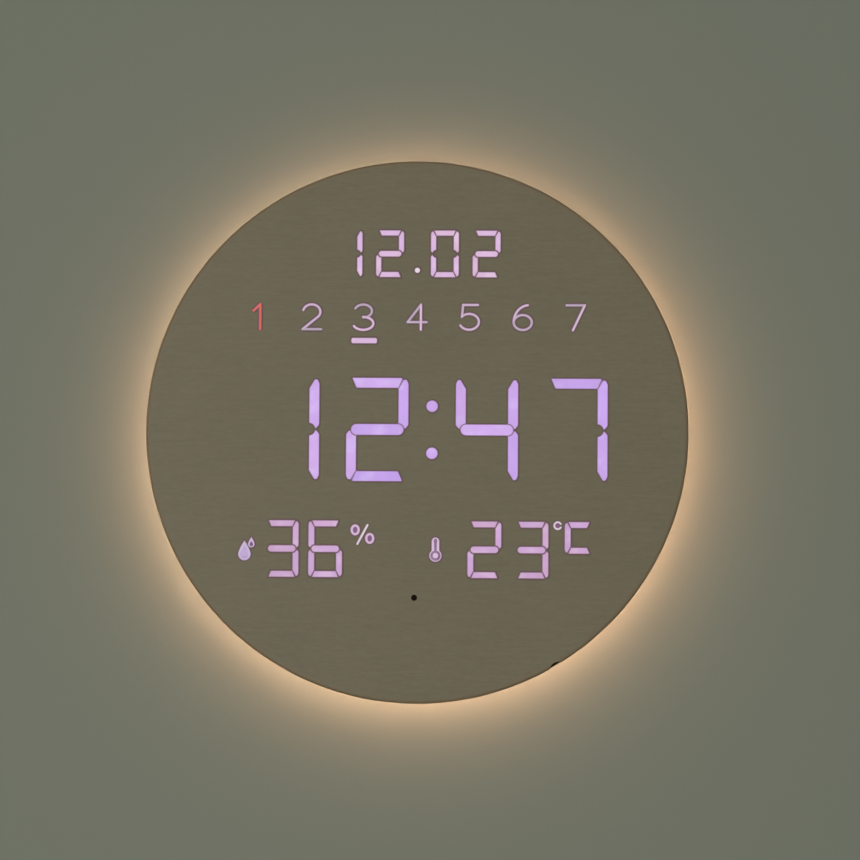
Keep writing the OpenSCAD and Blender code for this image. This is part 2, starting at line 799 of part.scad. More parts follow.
// Draws the lit or the dark segments of a row of digits
module digits(row, lit, g) {
    for (c = row, s = "abcdefg")
        if (is_lit(c[5], s) == lit) translate([c[0], c[1]]) segment(s, c[2], c[3], c[4], g);
}

module colon(g) {
    for (s = [-1, 1]) translate(display_k * [time_x, time_y + s * colon_pitch / 2])
        circle(display_k * colon_d / 2 + g);
}

module date_point(g) {
    translate(display_k * [0, date_y - point_drop]) circle(display_k * point_d / 2 + g);
}

function week_x(i) = (i - (days + 1) / 2) * week_pitch;

module rect(x, y, w, h, g) { translate([x - w / 2 - g, y - h / 2 - g]) square([w + 2 * g, h + 2 * g]); }

module display_rect(x, y, w, h, g) { rect(display_k * x, display_k * y, display_k * w, display_k * h, g); }

module week_bars(lit, g) {
    for (i = [1 : days]) if ((i == weekday) == lit)
        display_rect(week_x(i), week_y - week_bar_drop, week_bar_w, week_bar_h, g);
}

module week_cells(g) {
    for (i = [1 : days]) display_rect(week_x(i), week_y, week_cell, week_cell, g);
}

module humidity_signs(g) {
    display_rect(drop_x, climate_y, sign_cell, sign_cell_h, g);
    display_rect(percent_x, climate_y + percent_rise, percent_cell, percent_cell, g);
}

module temperature_signs(g) {
    display_rect(thermo_x, climate_y, sign_cell, sign_cell_h, g);
    display_rect(degree_x, climate_y + degree_rise, degree_cell, degree_cell, g);
}

// Outlines of the five reflector blocks, grown by g
module block(x0, x1, y0, y1, g) {
    display_rect((x0 + x1) / 2, (y0 + y1) / 2, x1 - x0, y1 - y0, block_margin + g);
}

module time_block(g) {
    half = time_group / 2 + time_pitch + time_w / 2;
    block(time_x - half, time_x + half, time_y - time_h / 2, time_y + time_h / 2, g);
}

module date_block(g) {
    half = date_group / 2 + date_pitch + date_w / 2;
    block(-half, half, date_y - date_h / 2, date_y + date_h / 2, g);
}

module week_block(g) {
    half = (days - 1) / 2 * week_pitch + week_cell / 2;
    block(-half, half, week_y - week_bar_drop - week_bar_h / 2, week_y + week_cell / 2, g);
}

module humidity_block(g) {
    block(drop_x - sign_cell / 2, percent_x + percent_cell / 2,
        climate_y - climate_h / 2, climate_y + climate_h / 2, g);
}

module temperature_block(g) {
    block(thermo_x - sign_cell / 2, letter_x + letter_w / 2,
        climate_y - climate_h / 2, climate_y + climate_h / 2, g);
}

module reflector() { slab(z_board_front, z_film_back) children(); }

module lens() { slab(z_guide_back, overall_depth) children(); }

module dark_guide() { slab(z_guide_back, z_film_back - guide_gap) children(); }

module lit_shapes(g) {
    digits(time_cells, true, g);
    colon(g);
    digits(date_cells, true, g);
    date_point(g);
    week_bars(true, g);
    digits(humidity_cells, true, g);
    digits(temperature_cells, true, g);
    letter(g);
}

module rim_notch() {
    rotate(notch_angle) translate([face_r - notch_depth + notch_r, 0, 0])
        peg(notch_r, z_film_front - notch_h, z_film_front + over);
}

module face_film() color("#6a6450") wall_frame() {
    difference() {
        union() {
            slab(z_film_back, z_film_front) difference() {
                circle(film_flat_r);
                lit_shapes(guide_fit);
                translate([sensor_x, sensor_y]) circle(sensor_d / 2);
            }
            rotate_extrude() difference() {
                edge_section(face_r, z_panel_back, z_film_front, rim_fillet);
                edge_section(shell_r, z_panel_back - over, z_film_back, shell_fillet);
                translate([0, z_film_back - over]) square([film_flat_r - over, film_t + 2 * over]);
            }
        }
        rim_notch();
    }
}

module front_shell() color("#2a2724") wall_frame() {
    difference() {
        union() {
            rotate_extrude() difference() {
                edge_section(shell_r, z_panel_back, z_film_back, shell_fillet);
                translate([-over, z_panel_back - over])
                    square([shell_in_r + over, z_face_back - z_panel_back + over]);
            }
            around(frame_screws_n, frame_ring_r, frame_start)
                peg(frame_boss_r, z_panel_front, z_face_back + over);
            at_each(board_posts) peg(board_post_r, z_board_front, z_face_back + over);
        }
        slab(z_face_back - over, z_film_back + over) {
            time_block(block_fit);
            date_block(block_fit);
            week_block(block_fit);
            humidity_block(block_fit);
            temperature_block(block_fit);
            translate([sensor_x, sensor_y]) circle(sensor_d / 2);
        }
        around(frame_screws_n, frame_ring_r, frame_start)
            peg(pilot_r, z_panel_front - over, z_face_back + pilot_spare);
        at_each(board_posts) peg(pilot_r, z_board_front - over, z_face_back + pilot_spare);
        rim_notch();
    }
}

module sensor_window() color("#120c10") wall_frame() translate([sensor_x, sensor_y, 0])
    peg(sensor_d / 2 - window_fit, z_film_front - window_sink - window_len, z_film_front - window_sink);

module time_lit_segments() color("#cfa6e6") wall_frame() lens() {
    digits(time_cells, true, 0);
    colon(0);
}

module date_lit_segments() color("#d2acd6") wall_frame() lens() {
    digits(date_cells, true, 0);
    date_point(0);
}

module humidity_lit_segments() color("#d0a4d8") wall_frame() lens() digits(humidity_cells, true, 0);

module temperature_lit_segments() color("#d0a4d8") wall_frame() lens() {
    digits(temperature_cells, true, 0);
    letter(0);
}

module weekday_lit_bar() color("#d8aee0") wall_frame() lens() week_bars(true, 0);

module dark_segments() color("#d9d4cc") wall_frame() dark_guide() {
    digits(time_cells, false, 0);
    digits(date_cells, false, 0);
    digits(humidity_cells, false, 0);
    digits(temperature_cells, false, 0);
    week_bars(false, 0);
}

module weekday_guides() color("#d9d4cc") wall_frame() dark_guide() week_cells(0);

module sign_guides() color("#d9d4cc") wall_frame() dark_guide() {
    humidity_signs(0);
    temperature_signs(0);
}

module time_reflector() color("#efeeea") wall_frame() reflector() difference() {
    time_block(0);
    digits(time_cells, true, guide_fit);
    digits(time_cells, false, guide_fit);
    colon(guide_fit);
}

module date_reflector() color("#efeeea") wall_frame() reflector() difference() {
    date_block(0);
    digits(date_cells, true, guide_fit);
    digits(date_cells, false, guide_fit);
    date_point(guide_fit);
}

module weekday_reflector() color("#efeeea") wall_frame() reflector() difference() {
    week_block(0);
    week_cells(guide_fit);
    week_bars(true, guide_fit);
    week_bars(false, guide_fit);
}

module humidity_reflector() color("#efeeea") wall_frame() reflector() difference() {
    humidity_block(0);
    digits(humidity_cells, true, guide_fit);
    digits(humidity_cells, false, guide_fit);
    humidity_signs(guide_fit);
}

module temperature_reflector() color("#efeeea") wall_frame() reflector() difference() {
    temperature_block(0);
    digits(temperature_cells, true, guide_fit);
    digits(temperature_cells, false, guide_fit);
    letter(guide_fit);
    temperature_signs(guide_fit);
}

module display_board() color("#2f5d3a") wall_frame() slab(z_board_back, z_board_front) difference() {
    circle(board_r);
    at_each(board_posts) circle(clear_r);
}

// One chip at the back of every cell: seven in a digit, one in each dot, bar, mark and sign
module digit_leds(row) {
    for (c = row) translate([c[0], c[1], 0]) {
        for (y = [-1, 0, 1]) translate([0, y * (c[3] - c[4]) / 2, 0]) chip(led_chip, z_board_front);
        for (x = [-1, 1], y = [-1, 1]) translate([x * (c[2] - c[4]) / 2, y * c[3] / 4, 0])
            rotate(90) chip(led_chip, z_board_front);
    }
}

module segment_leds() color("#f0e6c8") wall_frame() {
    digit_leds(time_cells);
    digit_leds(date_cells);
    digit_leds(humidity_cells);
    digit_leds(temperature_cells);
    at_each(display_k * [
        [time_x, time_y - colon_pitch / 2], [time_x, time_y + colon_pitch / 2], [0, date_y - point_drop],
        [drop_x, climate_y], [percent_x, climate_y + percent_rise], [thermo_x, climate_y],
        [degree_x, climate_y + degree_rise]
    ]) chip(led_chip, z_board_front);
    translate(letter_at) {
        for (y = [-1, 1]) translate([0, y * (letter_size[1] - letter_size[2]) / 2, 0])
            chip(led_chip, z_board_front);
        translate([(letter_size[2] - letter_size[0]) / 2, 0, 0]) rotate(90) chip(led_chip, z_board_front);
    }
    for (i = [1 : days], y = [week_y, week_y - week_bar_drop])
        translate(display_k * [week_x(i), y, 0]) chip(led_chip, z_board_front);
}

module driver_chips() color("#1c1c1e") wall_frame()
    for (s = [-1, 1], y = [driver_rise, -driver_drop])
        translate([s * driver_x, y, 0]) chip(driver_chip, z_board_back - driver_chip[2]);

module infrared_receiver() color("#17141a") wall_frame() translate([sensor_x, sensor_y, 0]) {
    chip([receiver_side, receiver_side, receiver_h - receiver_dome], z_board_front);
    peg(receiver_side / 2 - receiver_rim, z_board_front, z_board_front + receiver_h);
}

module climate_sensor() color("#e8e8e6") wall_frame()
    translate([0, -vent_drop, 0]) chip(climate_chip, z_board_back - climate_chip[2]);

module ribbon_plugs() color("#e6e1d2") wall_frame() translate([ribbon_x, 0, 0]) {
    translate([0, ribbon_y1 + ribbon_plug[1] / 2, 0]) chip(ribbon_plug, z_board_back - ribbon_plug[2]);
    translate([0, ribbon_y0 - ribbon_plug[1] / 2, 0]) chip(ribbon_plug, z_ctrl_front);
}

module ribbon_cable() color("#d8d8d4") wall_frame() {
    z0 = z_ctrl_front + ribbon_plug[2] / 2;
    z1 = z_board_back - ribbon_plug[2] / 2;
    translate([ribbon_x - ribbon_w / 2, 0, 0]) rotate([90, 0, 90]) linear_extrude(height = ribbon_w) polygon([
        [ribbon_y0, z0], [ribbon_y0 + ribbon_lead, z0], [ribbon_y1 - ribbon_lead, z1], [ribbon_y1, z1],
        [ribbon_y1, z1 + ribbon_t], [ribbon_y1 - ribbon_lead - ribbon_t, z1 + ribbon_t],
        [ribbon_y0 + ribbon_lead - ribbon_t, z0 + ribbon_t], [ribbon_y0, z0 + ribbon_t]
    ]);
}

module back_panel() color("#26241f") wall_frame() {
    difference() {
        ring(panel_r, panel_open_r, z_panel_back, z_panel_front);
        around(frame_screws_n, frame_ring_r, frame_start)
            peg(clear_r, z_panel_back - over, z_panel_front + over);
        around(drum_ears_n, ear_ring_r, 0) flipped(z_panel_front) csk_hole(panel_t + over);
        slab(z_panel_back - over, z_panel_front + over)
            for (i = [0 : vents_n - 1])
                rect((i - (vents_n - 1) / 2) * vent_pitch, -vent_drop, vent_w, vent_len, 0);
    }
}

module drum() color("#26241f") wall_frame() {
    difference() {
        union() {
            slab(cover_t, z_panel_back) difference() {
                union() {
                    difference() {
                        circle(drum_r);
                        circle(drum_in_r);
                    }
                    around(drum_ears_n, ear_ring_r, 0) circle(ear_r);
                }
                around(drum_ears_n, ear_ring_r, 0) circle(pilot_r);
            }
            difference() {
                ring(lip_r, drum_r - over, lip_z, lip_z + lip_t);
                ring(diffuser_r + diffuser_t + groove_fit, diffuser_r - groove_fit,
                    lip_z + lip_t - groove_depth, lip_z + lip_t + over);
            }
        }
        translate([-cord_half, -drum_r - over, cover_t - over])
            cube([2 * cord_half, drum_wall + 3 * over, cord_depth - cover_t + over]);
        translate([drum_in_r - 2 * over, light_lead_y, strip_z]) rotate([0, 90, 0])
            cylinder(h = drum_wall + 3 * over, r = lead_hole_r);
    }
}

module light_strip() color("#f2f0ea") wall_frame()
    ring(strip_out_r, strip_in_r, strip_z - strip_w / 2, strip_z + strip_w / 2);

module strip_led_chips() color("#f4dca0") wall_frame()
    around(strip_leds, strip_out_r + solder_t, 180 / strip_leds)
        translate([0, -strip_chip[0] / 2, strip_z - strip_chip[1] / 2])
            cube([strip_chip[2], strip_chip[0], strip_chip[1]]);

module light_diffuser() color("#f6ead0") wall_frame()
    ring(diffuser_r + diffuser_t, diffuser_r, lip_z + lip_t - groove_depth, z_panel_back);

// Two leads side by side, from the control board out through the drum to the strip
module light_lead() color("#b8342c") wall_frame() {
    x0 = light_plug_x + lead_plug[0] / 2;
    x1 = sqrt(pow(drum_r, 2) - pow(light_lead_y + 2 * lead_r, 2)) - fit_gap;
    for (s = [-1, 1]) translate([x0, light_lead_y + s * light_lead_half, strip_z])
        rotate([0, 90, 0]) cylinder(h = x1 - x0, r = lead_r);
}

module lead_plugs() color("#f0efe8") wall_frame() {
    translate([light_plug_x, light_lead_y, 0]) chip(lead_plug, z_ctrl_front);
    translate([0, power_plug_y, 0]) chip(lead_plug, ctrl_z - lead_plug[2]);
}

module button_centres() {
    for (i = [0 : buttons_n - 1]) translate([button_x + i * button_pitch, ctrl_y, 0]) children();
}

module at_hanger_screws() {
    for (s = [-1, 1]) translate([s * hanger_pitch / 2, hanger_mid_y, 0]) children();
}

module rear_cover() color("#26241f") wall_frame() {
    difference() {
        union() {
            cylinder(h = cover_chamfer, r1 = drum_r - cover_chamfer, r2 = drum_r);
            peg(drum_r, cover_chamfer, cover_t);
            at_each(ctrl_posts) peg(ctrl_post_r, cover_t - eps, ctrl_z);
            slab(cover_t - eps, z_pad_front) rect(0, hanger_mid_y, hanger_w, hanger_h, pad_margin);
            at_hanger_screws()
                peg(ctrl_post_r, z_pad_front - eps, hanger_screw_len + pilot_spare + boss_floor);
        }
        around(drum_ears_n, ear_ring_r, 0) translate([0, 0, csk_sink]) csk_hole(cover_t + over);
        at_each(ctrl_posts) peg(pilot_r, cover_t + pilot_spare, ctrl_z + over);
        slab(-over, z_hanger + hanger_t) rect(0, hanger_mid_y, hanger_w, hanger_h, fit_gap);
        slab(-over, z_pad_front + over) translate([-keyroom_x, hang_y - keyhole_r - keyroom_end])
            square([2 * keyroom_x, keyslot_len + keyhole_r + keyslot_r + 2 * keyroom_end]);
        at_hanger_screws() peg(pilot_r, -over, hanger_screw_len + pilot_spare);
        slab(-over, cover_t + over) {
            translate([-cup_w / 2, cup_y]) square([cup_w, cup_len]);
            translate([-cord_half, -drum_r - over]) square([2 * cord_half, drum_r + cup_y + 2 * over]);
            translate([cell_x, ctrl_y]) circle(door_hub_r + door_fit);
        }
        button_centres() peg(button_r + button_fit, -over, cover_t + over);
        slab(-over, bay_depth) translate([button_x - bay_margin, ctrl_y - bay_margin])
            square([bay_w, 2 * bay_margin]);
        at_cell() {
            peg(door_r + door_fit, -over, z_door_in);
            for (i = [0 : lugs_n - 1]) rotate(i * 360 / lugs_n - door_turn - lug_angle / 2 - lug_play)
                translate([0, 0, -over]) rotate_extrude(angle = lug_angle + 2 * lug_play)
                    translate([door_hub_r - over, 0])
                        square([lug_reach + over + door_fit, cover_t + 2 * over]);
        }
    }
}

module keyhole() {
    circle(keyhole_r);
    translate([-keyslot_r, 0]) square([2 * keyslot_r, keyslot_len]);
    translate([0, keyslot_len]) circle(keyslot_r);
}

module hanger_plate() color("#b9bcc0") wall_frame() {
    difference() {
        slab(z_hanger, z_hanger + hanger_t) difference() {
            rect(0, hanger_mid_y, hanger_w, hanger_h, 0);
            translate([0, hang_y]) keyhole();
        }
        at_hanger_screws() translate([0, 0, z_hanger + csk_sink]) csk_hole(hanger_t + over);
    }
}

module hanger_screws() color("#8d9094") wall_frame()
    at_hanger_screws() translate([0, 0, z_hanger + csk_sink]) csk_screw(hanger_screw_len);

module frame_screws() color("#3a3a3c") wall_frame()
    around(frame_screws_n, frame_ring_r, frame_start)
        translate([0, 0, z_panel_back]) pan_screw(frame_screw_len);

module housing_screws() color("#3a3a3c") wall_frame() {
    around(drum_ears_n, ear_ring_r, 0) translate([0, 0, csk_sink]) csk_screw(housing_screw_len);
    around(drum_ears_n, ear_ring_r, 0) flipped(z_panel_front - csk_sink) csk_screw(housing_screw_len);
}

module board_screws() color("#b8b9bb") wall_frame() {
    at_each(board_posts) translate([0, 0, z_board_back]) pan_screw(board_screw_len);
    at_each(ctrl_posts) flipped(z_ctrl_front) pan_screw(board_screw_len);
}

module inlet_cup() color("#26241f") wall_frame() {
    difference() {
        translate([-cup_w / 2 - cup_wall, cup_y - cup_wall, cover_t])
            cube([cup_w + 2 * cup_wall, cup_len + 2 * cup_wall, cup_depth + cup_wall - cover_t]);
        translate([-cup_w / 2, cup_y, cover_t - over]) cube([cup_w, cup_len, cup_depth - cover_t + over]);
        translate([-cord_half, cup_y - cup_wall - over, cover_t - over])
            cube([2 * cord_half, cup_wall + 2 * over, cord_depth - cover_t + over]);
        translate([0, -cup_top - over, jack_z]) rotate([-90, 0, 0])
            cylinder(h = cup_wall + 2 * over, r = jack_barrel_d / 2 + fit_gap);
    }
}

module along_jack(y0, y1, r) { translate([0, y0, jack_z]) rotate([-90, 0, 0]) cylinder(h = y1 - y0, r = r); }

module power_jack() color("#1b1b1d") wall_frame() {
    difference() {
        union() {
            along_jack(jack_y, -cup_top, jack_flange_d / 2);
            along_jack(-cup_top - eps, jack_end_y, jack_barrel_d / 2);
        }
        along_jack(jack_y - over, jack_end_y - jack_floor, jack_bore_d / 2);
        along_jack(jack_y, jack_end_y + over, jack_tail_d / 2 + jack_tail_fit);
    }
}

module jack_pin() color("#c9ccd0") wall_frame() {
    along_jack(jack_y + jack_pin_sink, jack_end_y - jack_floor, jack_pin_d / 2);
    along_jack(jack_end_y - jack_floor - eps, jack_end_y + jack_tail_len, jack_tail_d / 2);
}

module jack_nut() color("#b4b6ba") wall_frame() {
    difference() {
        translate([0, cup_wall - cup_top, jack_z]) rotate([-90, 0, 0]) rotate(30)
            cylinder(h = jack_nut_t, r = jack_nut_af / sqrt(3), $fn = 6);
        along_jack(cup_wall - cup_top - over, cup_wall - cup_top + jack_nut_t + over,
            jack_barrel_d / 2 + fit_gap);
    }
}

module power_leads() color("#b8342c") wall_frame()
    for (s = [-1, 1]) translate([s * power_lead_half, jack_end_y, power_lead_z])
        rotate([-90, 0, 0]) cylinder(h = power_plug_y - lead_plug[1] / 2 - jack_end_y, r = lead_r);

module control_board() color("#2f5d3a") wall_frame() slab(ctrl_z, z_ctrl_front) difference() {
    translate([-ctrl_w / 2, ctrl_y - ctrl_h / 2]) square([ctrl_w, ctrl_h]);
    at_each(ctrl_posts) circle(clear_r);
}

module microcontroller() color("#1c1c1e") wall_frame()
    translate([mcu_x, ctrl_y, 0]) chip([mcu_side, mcu_side, mcu_t], z_ctrl_front);

module clock_crystal() color("#c4c6c8") wall_frame()
    translate([crystal_x, ctrl_y + crystal_rise, z_ctrl_front + crystal_d / 2]) rotate([0, 90, 0])
        cylinder(h = crystal_len, r = crystal_d / 2);

module regulator_chip() color("#1c1c1e") wall_frame()
    translate([regulator_x, ctrl_y - supply_drop, 0]) chip(regulator, z_ctrl_front);

module capacitors() color("#23304a") wall_frame()
    for (i = [0, 1]) translate([ctrl_w / 2 - cap_inset - i * cap_pitch, ctrl_y - supply_drop, 0])
        peg(cap_d / 2, z_ctrl_front, z_ctrl_front + cap_h);

module buzzer() color("#1a1a1a") wall_frame() translate([buzzer_x, ctrl_y, 0]) difference() {
    peg(buzzer_d / 2, z_ctrl_front, z_ctrl_front + buzzer_h);
    peg(buzzer_hole_r, z_ctrl_front + buzzer_h - buzzer_hole_depth, z_ctrl_front + buzzer_h + over);
}

module tact_switches() color("#2b2b2d") wall_frame() button_centres() difference() {
    chip([switch_side, switch_side, switch_h], z_switch);
    peg(plunger_r + plunger_fit, z_switch - over, z_switch + plunger_in + button_travel + fit_gap);
}

module plunger(i) {
    translate([button_x + (i - 1) * button_pitch, ctrl_y, 0])
        peg(plunger_r, z_plunger, z_switch + plunger_in);
}

module plunger_1() color("#d6d2c6") wall_frame() plunger(1);
module plunger_2() color("#d6d2c6") wall_frame() plunger(2);
module plunger_3() color("#d6d2c6") wall_frame() plunger(3);
module plunger_4() color("#d6d2c6") wall_frame() plunger(4);

module button(i) {
    translate([button_x + (i - 1) * button_pitch, ctrl_y, 0]) {
        peg(button_r, button_sink, z_flange + eps);
        peg(button_r + button_flange, z_flange, z_flange + button_flange_t);
        peg(button_stem_r, z_flange + button_flange_t - eps, z_plunger);
    }
}

module button_1() color("#8f8a80") wall_frame() button(1);
module button_2() color("#8f8a80") wall_frame() button(2);
module button_3() color("#8f8a80") wall_frame() button(3);
module button_4() color("#8f8a80") wall_frame() button(4);

module at_cell() { translate([cell_x, ctrl_y, 0]) children(); }

module coin_cell_holder() color("#1d1d1f") wall_frame() at_cell() difference() {
    peg(cell_d / 2 + cell_fit + holder_wall, z_holder, ctrl_z);
    peg(cell_d / 2 + cell_fit, z_holder - over, ctrl_z - holder_base);
}

module coin_contact() color("#c8b26a") wall_frame() at_cell()
    chip([contact_len, contact_w, contact_t], ctrl_z - holder_base - contact_t);

module coin_cell() color("#c8cacd") wall_frame() at_cell() peg(cell_d / 2, z_holder, z_holder + cell_t);

module battery_door() color("#2c2a25") wall_frame() at_cell() {
    difference() {
        union() {
            peg(door_r, door_sink, z_door_in);
            peg(door_hub_r, z_door_in - eps, z_lug + lug_t);
            for (i = [0 : lugs_n - 1]) rotate(i * 360 / lugs_n - lug_angle / 2) translate([0, 0, z_lug])
                rotate_extrude(angle = lug_angle)
                    translate([door_hub_r - over, 0]) square([lug_reach + over, lug_t]);
        }
        translate([-coin_slot_len / 2, -coin_slot_w / 2, door_sink - over])
            cube([coin_slot_len, coin_slot_w, coin_slot_depth + over]);
    }
}

face_film();
front_shell();
sensor_window();
time_lit_segments();
date_lit_segments();
humidity_lit_segments();
temperature_lit_segments();
weekday_lit_bar();
dark_segments();
weekday_guides();
sign_guides();
time_reflector();
date_reflector();
weekday_reflector();
humidity_reflector();
temperature_reflector();
display_board();
segment_leds();
driver_chips();
infrared_receiver();
climate_sensor();
ribbon_plugs();
ribbon_cable();
back_panel();
drum();
light_strip();
strip_led_chips();
light_diffuser();
light_lead();
lead_plugs();
rear_cover();
hanger_plate();
hanger_screws();
frame_screws();
housing_screws();
board_screws();
inlet_cup();
power_jack();
jack_pin();
jack_nut();
power_leads();
control_board();
microcontroller();
clock_crystal();
regulator_chip();
capacitors();
buzzer();
tact_switches();
plunger_1();
plunger_2();
plunger_3();
plunger_4();
button_1();
button_2();
button_3();
button_4();
coin_cell_holder();
coin_contact();
coin_cell();
battery_door();
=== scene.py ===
"""Looks of a round digital wall clock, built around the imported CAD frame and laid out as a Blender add-on.

The row frame is used throughout, in metres: +X right, +Z up, the wall at y = 0 and the face towards -Y.
"""
import json
import math

import bmesh
import bpy
import numpy as np
from mathutils import Matrix, Vector


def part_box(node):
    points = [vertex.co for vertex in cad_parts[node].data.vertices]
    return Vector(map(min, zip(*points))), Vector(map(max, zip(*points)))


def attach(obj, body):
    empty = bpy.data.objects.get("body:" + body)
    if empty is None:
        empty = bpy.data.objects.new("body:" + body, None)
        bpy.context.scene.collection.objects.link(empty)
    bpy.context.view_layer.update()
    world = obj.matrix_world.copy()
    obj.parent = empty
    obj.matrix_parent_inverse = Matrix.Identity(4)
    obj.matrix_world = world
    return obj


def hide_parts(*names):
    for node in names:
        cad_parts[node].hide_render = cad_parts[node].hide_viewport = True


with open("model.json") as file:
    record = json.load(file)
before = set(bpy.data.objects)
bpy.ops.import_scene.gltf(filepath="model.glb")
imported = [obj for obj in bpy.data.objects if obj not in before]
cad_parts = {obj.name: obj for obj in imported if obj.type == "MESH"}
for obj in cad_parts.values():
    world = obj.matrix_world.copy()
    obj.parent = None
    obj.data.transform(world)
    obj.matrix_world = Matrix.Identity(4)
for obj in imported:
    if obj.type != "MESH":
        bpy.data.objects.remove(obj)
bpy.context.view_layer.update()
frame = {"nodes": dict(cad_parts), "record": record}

bl_info = {
    "name": "Digital Wall Clock",
    "version": (1, 0, 0),
    "blender": (4, 5, 0),
    "location": "View3D > Sidebar > Wall Clock",
    "description": "Dresses the CAD frame of a round digital wall clock with a light behind its disc",
    "category": "Object",
}

NODES = frame["nodes"]
SLOT_OF = {part["node"]: part["material_slot"] for part in frame["record"]["subparts"]}
BODY = "case"
FILM_FRONT = -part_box("face_film")[0].y
FILM_REAR = -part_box("face_film")[1].y
LENS_FRONT = -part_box("time_lit_segments")[0].y
LENS_BACK = -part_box("time_lit_segments")[1].y
LENS_LOW = LENS_FRONT - 0.00004
DRUM_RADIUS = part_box("rear_cover")[1].x

# Points in an outline, a stroke, an ellipse, a cutter, the film's rim and the wall's rings
LOOP_POINTS = 96
STROKE_POINTS = 40
ELLIPSE_POINTS = 60
CUT_POINTS = 48
FILM_POINTS = 480
WALL_POINTS = 180

# Film: radii of rings on its front, reach of a cutter before it, depth of the sensor hole, sharpest bend
FILM_RADII = np.array([0.03, 0.06, 0.09, 0.12, 0.15, 0.175])
CUT_REACH = 0.001
SENSOR_DEPTH = 0.002
SHARP_ANGLE = math.radians(35)

# Crown of a lit piece: shares of the way from its outline to its middle, and its edge off the film
CROWN_STEPS = np.array([0.0, 0.04, 0.1, 0.2, 0.38, 0.66])
LIP_RISE = 0.000012
RIM_RISE = 0.00003
# Stroke of a sign: shares of its half width, heights from its side to its middle, angles of its round ends
STROKE_SHARES = np.array([1.0, 0.86, 0.6, 0.25])
STROKE_LIFTS = np.array([0.0, 0.12, 0.3, 0.62, 0.9, 1.0])
CAP_ANGLES = np.radians([75.0, 50.0, 25.0])

# Lit opal: where its light begins inside the outline, half the blur of that edge, and the fringe outside
OPAL_INSET = 0.0002
OPAL_BLUR = 0.00036
OPAL_FRINGE = (-0.0011, -0.0002)
# Finishes: depth of spark texture, spacing of a ribbon's cores and of turned rings, soft edge of print
SPARK_DEPTH = 0.00004
CORE_PITCH = 0.00127
TURNED_PITCH = 0.0011
PRINT_EDGE = 0.0001
# Label place: corner, distance of its groove from the edge, half widths of the groove's floor and mouth
LABEL_CORNER = 0.003
GROOVE_IN = 0.0006
GROOVE_HALVES = (0.0002, 0.0005)
# Printed signs: half length and half width of a bar, radius of a ring, core and rays of the sun
BAR_HALF = 0.0022
BAR_THIN = 0.0004
RING_RADIUS = 0.0023
SUN_CORE = 0.0011
SUN_RAYS = 8.0
RAY_HALF = 0.0005
# Hands of the printed clock: half width, then the middle along and half length of the long and the short one
HAND_THIN = 0.0003
LONG_HAND = (0.0007, 0.0009)
SHORT_HAND = (0.0006, 0.0008)
# Door's signs: radii of the locked dot, the free ring and the door's own dot
LOCKED_RADIUS = 0.001
FREE_RADIUS = 0.0009
DOOR_DOT_RADIUS = 0.0009

# Lit dots: rise and radius of the colon's two, drop and radius of the date's one
COLON_RISE = 0.01645
COLON_RADIUS = 0.004
POINT_DROP = 0.0116
POINT_RADIUS = 0.00195
# Climate row: places across of the digits and of the scale's letter, and the letter's width
HUMIDITY_ACROSS = (-0.0936, -0.0632)
TEMPERATURE_ACROSS = (0.0479, 0.0807)
LETTER_ACROSS = 0.1137
LETTER_WIDE = 0.02
# Corner of the bar under a weekday
BAR_CORNER = 0.0012

# Dark hems of a weekday mark, of a sign's strokes, fine lines and fields
MARK_HEM = 0.0009
SIGN_HEM = 0.0006
LINE_HEM = 0.0003
FIELD_HEM = 0.0008
# Percent and degree signs: middles across and up, half axes of the rings and of the fields inside them
PERCENT_MIDDLES = ((-0.0423, -0.0690), (-0.0321, -0.0749))
PERCENT_RING = (0.0024, 0.003)
PERCENT_FIELD = (0.0016, 0.0022)
PERCENT_SLASH = ((-0.0338, -0.0657), (-0.0407, -0.0787))
DEGREE_MIDDLE = (0.0989, -0.0652)
DEGREE_RING = (0.0024, 0.0024)
DEGREE_FIELD = (0.0018, 0.0018)
# Drops: middle across and up, radius, height of the tip
DROP = (-0.1197, -0.0864, 0.0045, -0.0766)
DROP_CORE = (-0.1197, -0.0864, 0.0034, -0.0788)
SMALL_DROP = (-0.1149, -0.0794, 0.0024, -0.0742)
SMALL_DROP_CORE = (-0.1149, -0.0796, 0.0015, -0.0768)
# Thermometer: place across, middle of the bulb, top, radii of bulb, stem and the bulb's inner ring
THERMOMETER_ACROSS = 0.0138
THERMOMETER_BULB = -0.0866
THERMOMETER_TOP = -0.0738
BULB_RADIUS = 0.0044
STEM_RADIUS = 0.0028
BULB_RING = 0.0027
# Ends of the thermometer's channel and of the dot above it, across and up
CHANNEL = ((THERMOMETER_ACROSS, THERMOMETER_TOP - 0.0042), (THERMOMETER_ACROSS, THERMOMETER_BULB + 0.0032))
DOT = ((THERMOMETER_ACROSS, THERMOMETER_TOP - 0.0022), (THERMOMETER_ACROSS, THERMOMETER_TOP - 0.003))

# Stage: colour of the plain background, height and half width of the floor, the wall's place behind the clock
PALE = (0.8, 0.8, 0.79)
FLOOR_UP = -1.6
FLOOR_HALF = 40.0
WALL_BACK = 0.0004
# Picture: its width at the clock, a point on the clock, and the shift of the picture's middle from there
PICTURE_WIDTH = 0.6025
PICTURE_POINT = (0.0, -0.03, 0.0)
PICTURE_SHIFT = (0.0094, 0.00115, 0.0)

# Lit segments of the figures on the face, by the letters of SEGMENT_FORMS
LIT_SEGMENTS = {
    "0": "abcdef", "1": "bc", "2": "abged", "3": "abgcd", "4": "fgbc", "6": "afgedc", "7": "abc", "C": "ads",
}


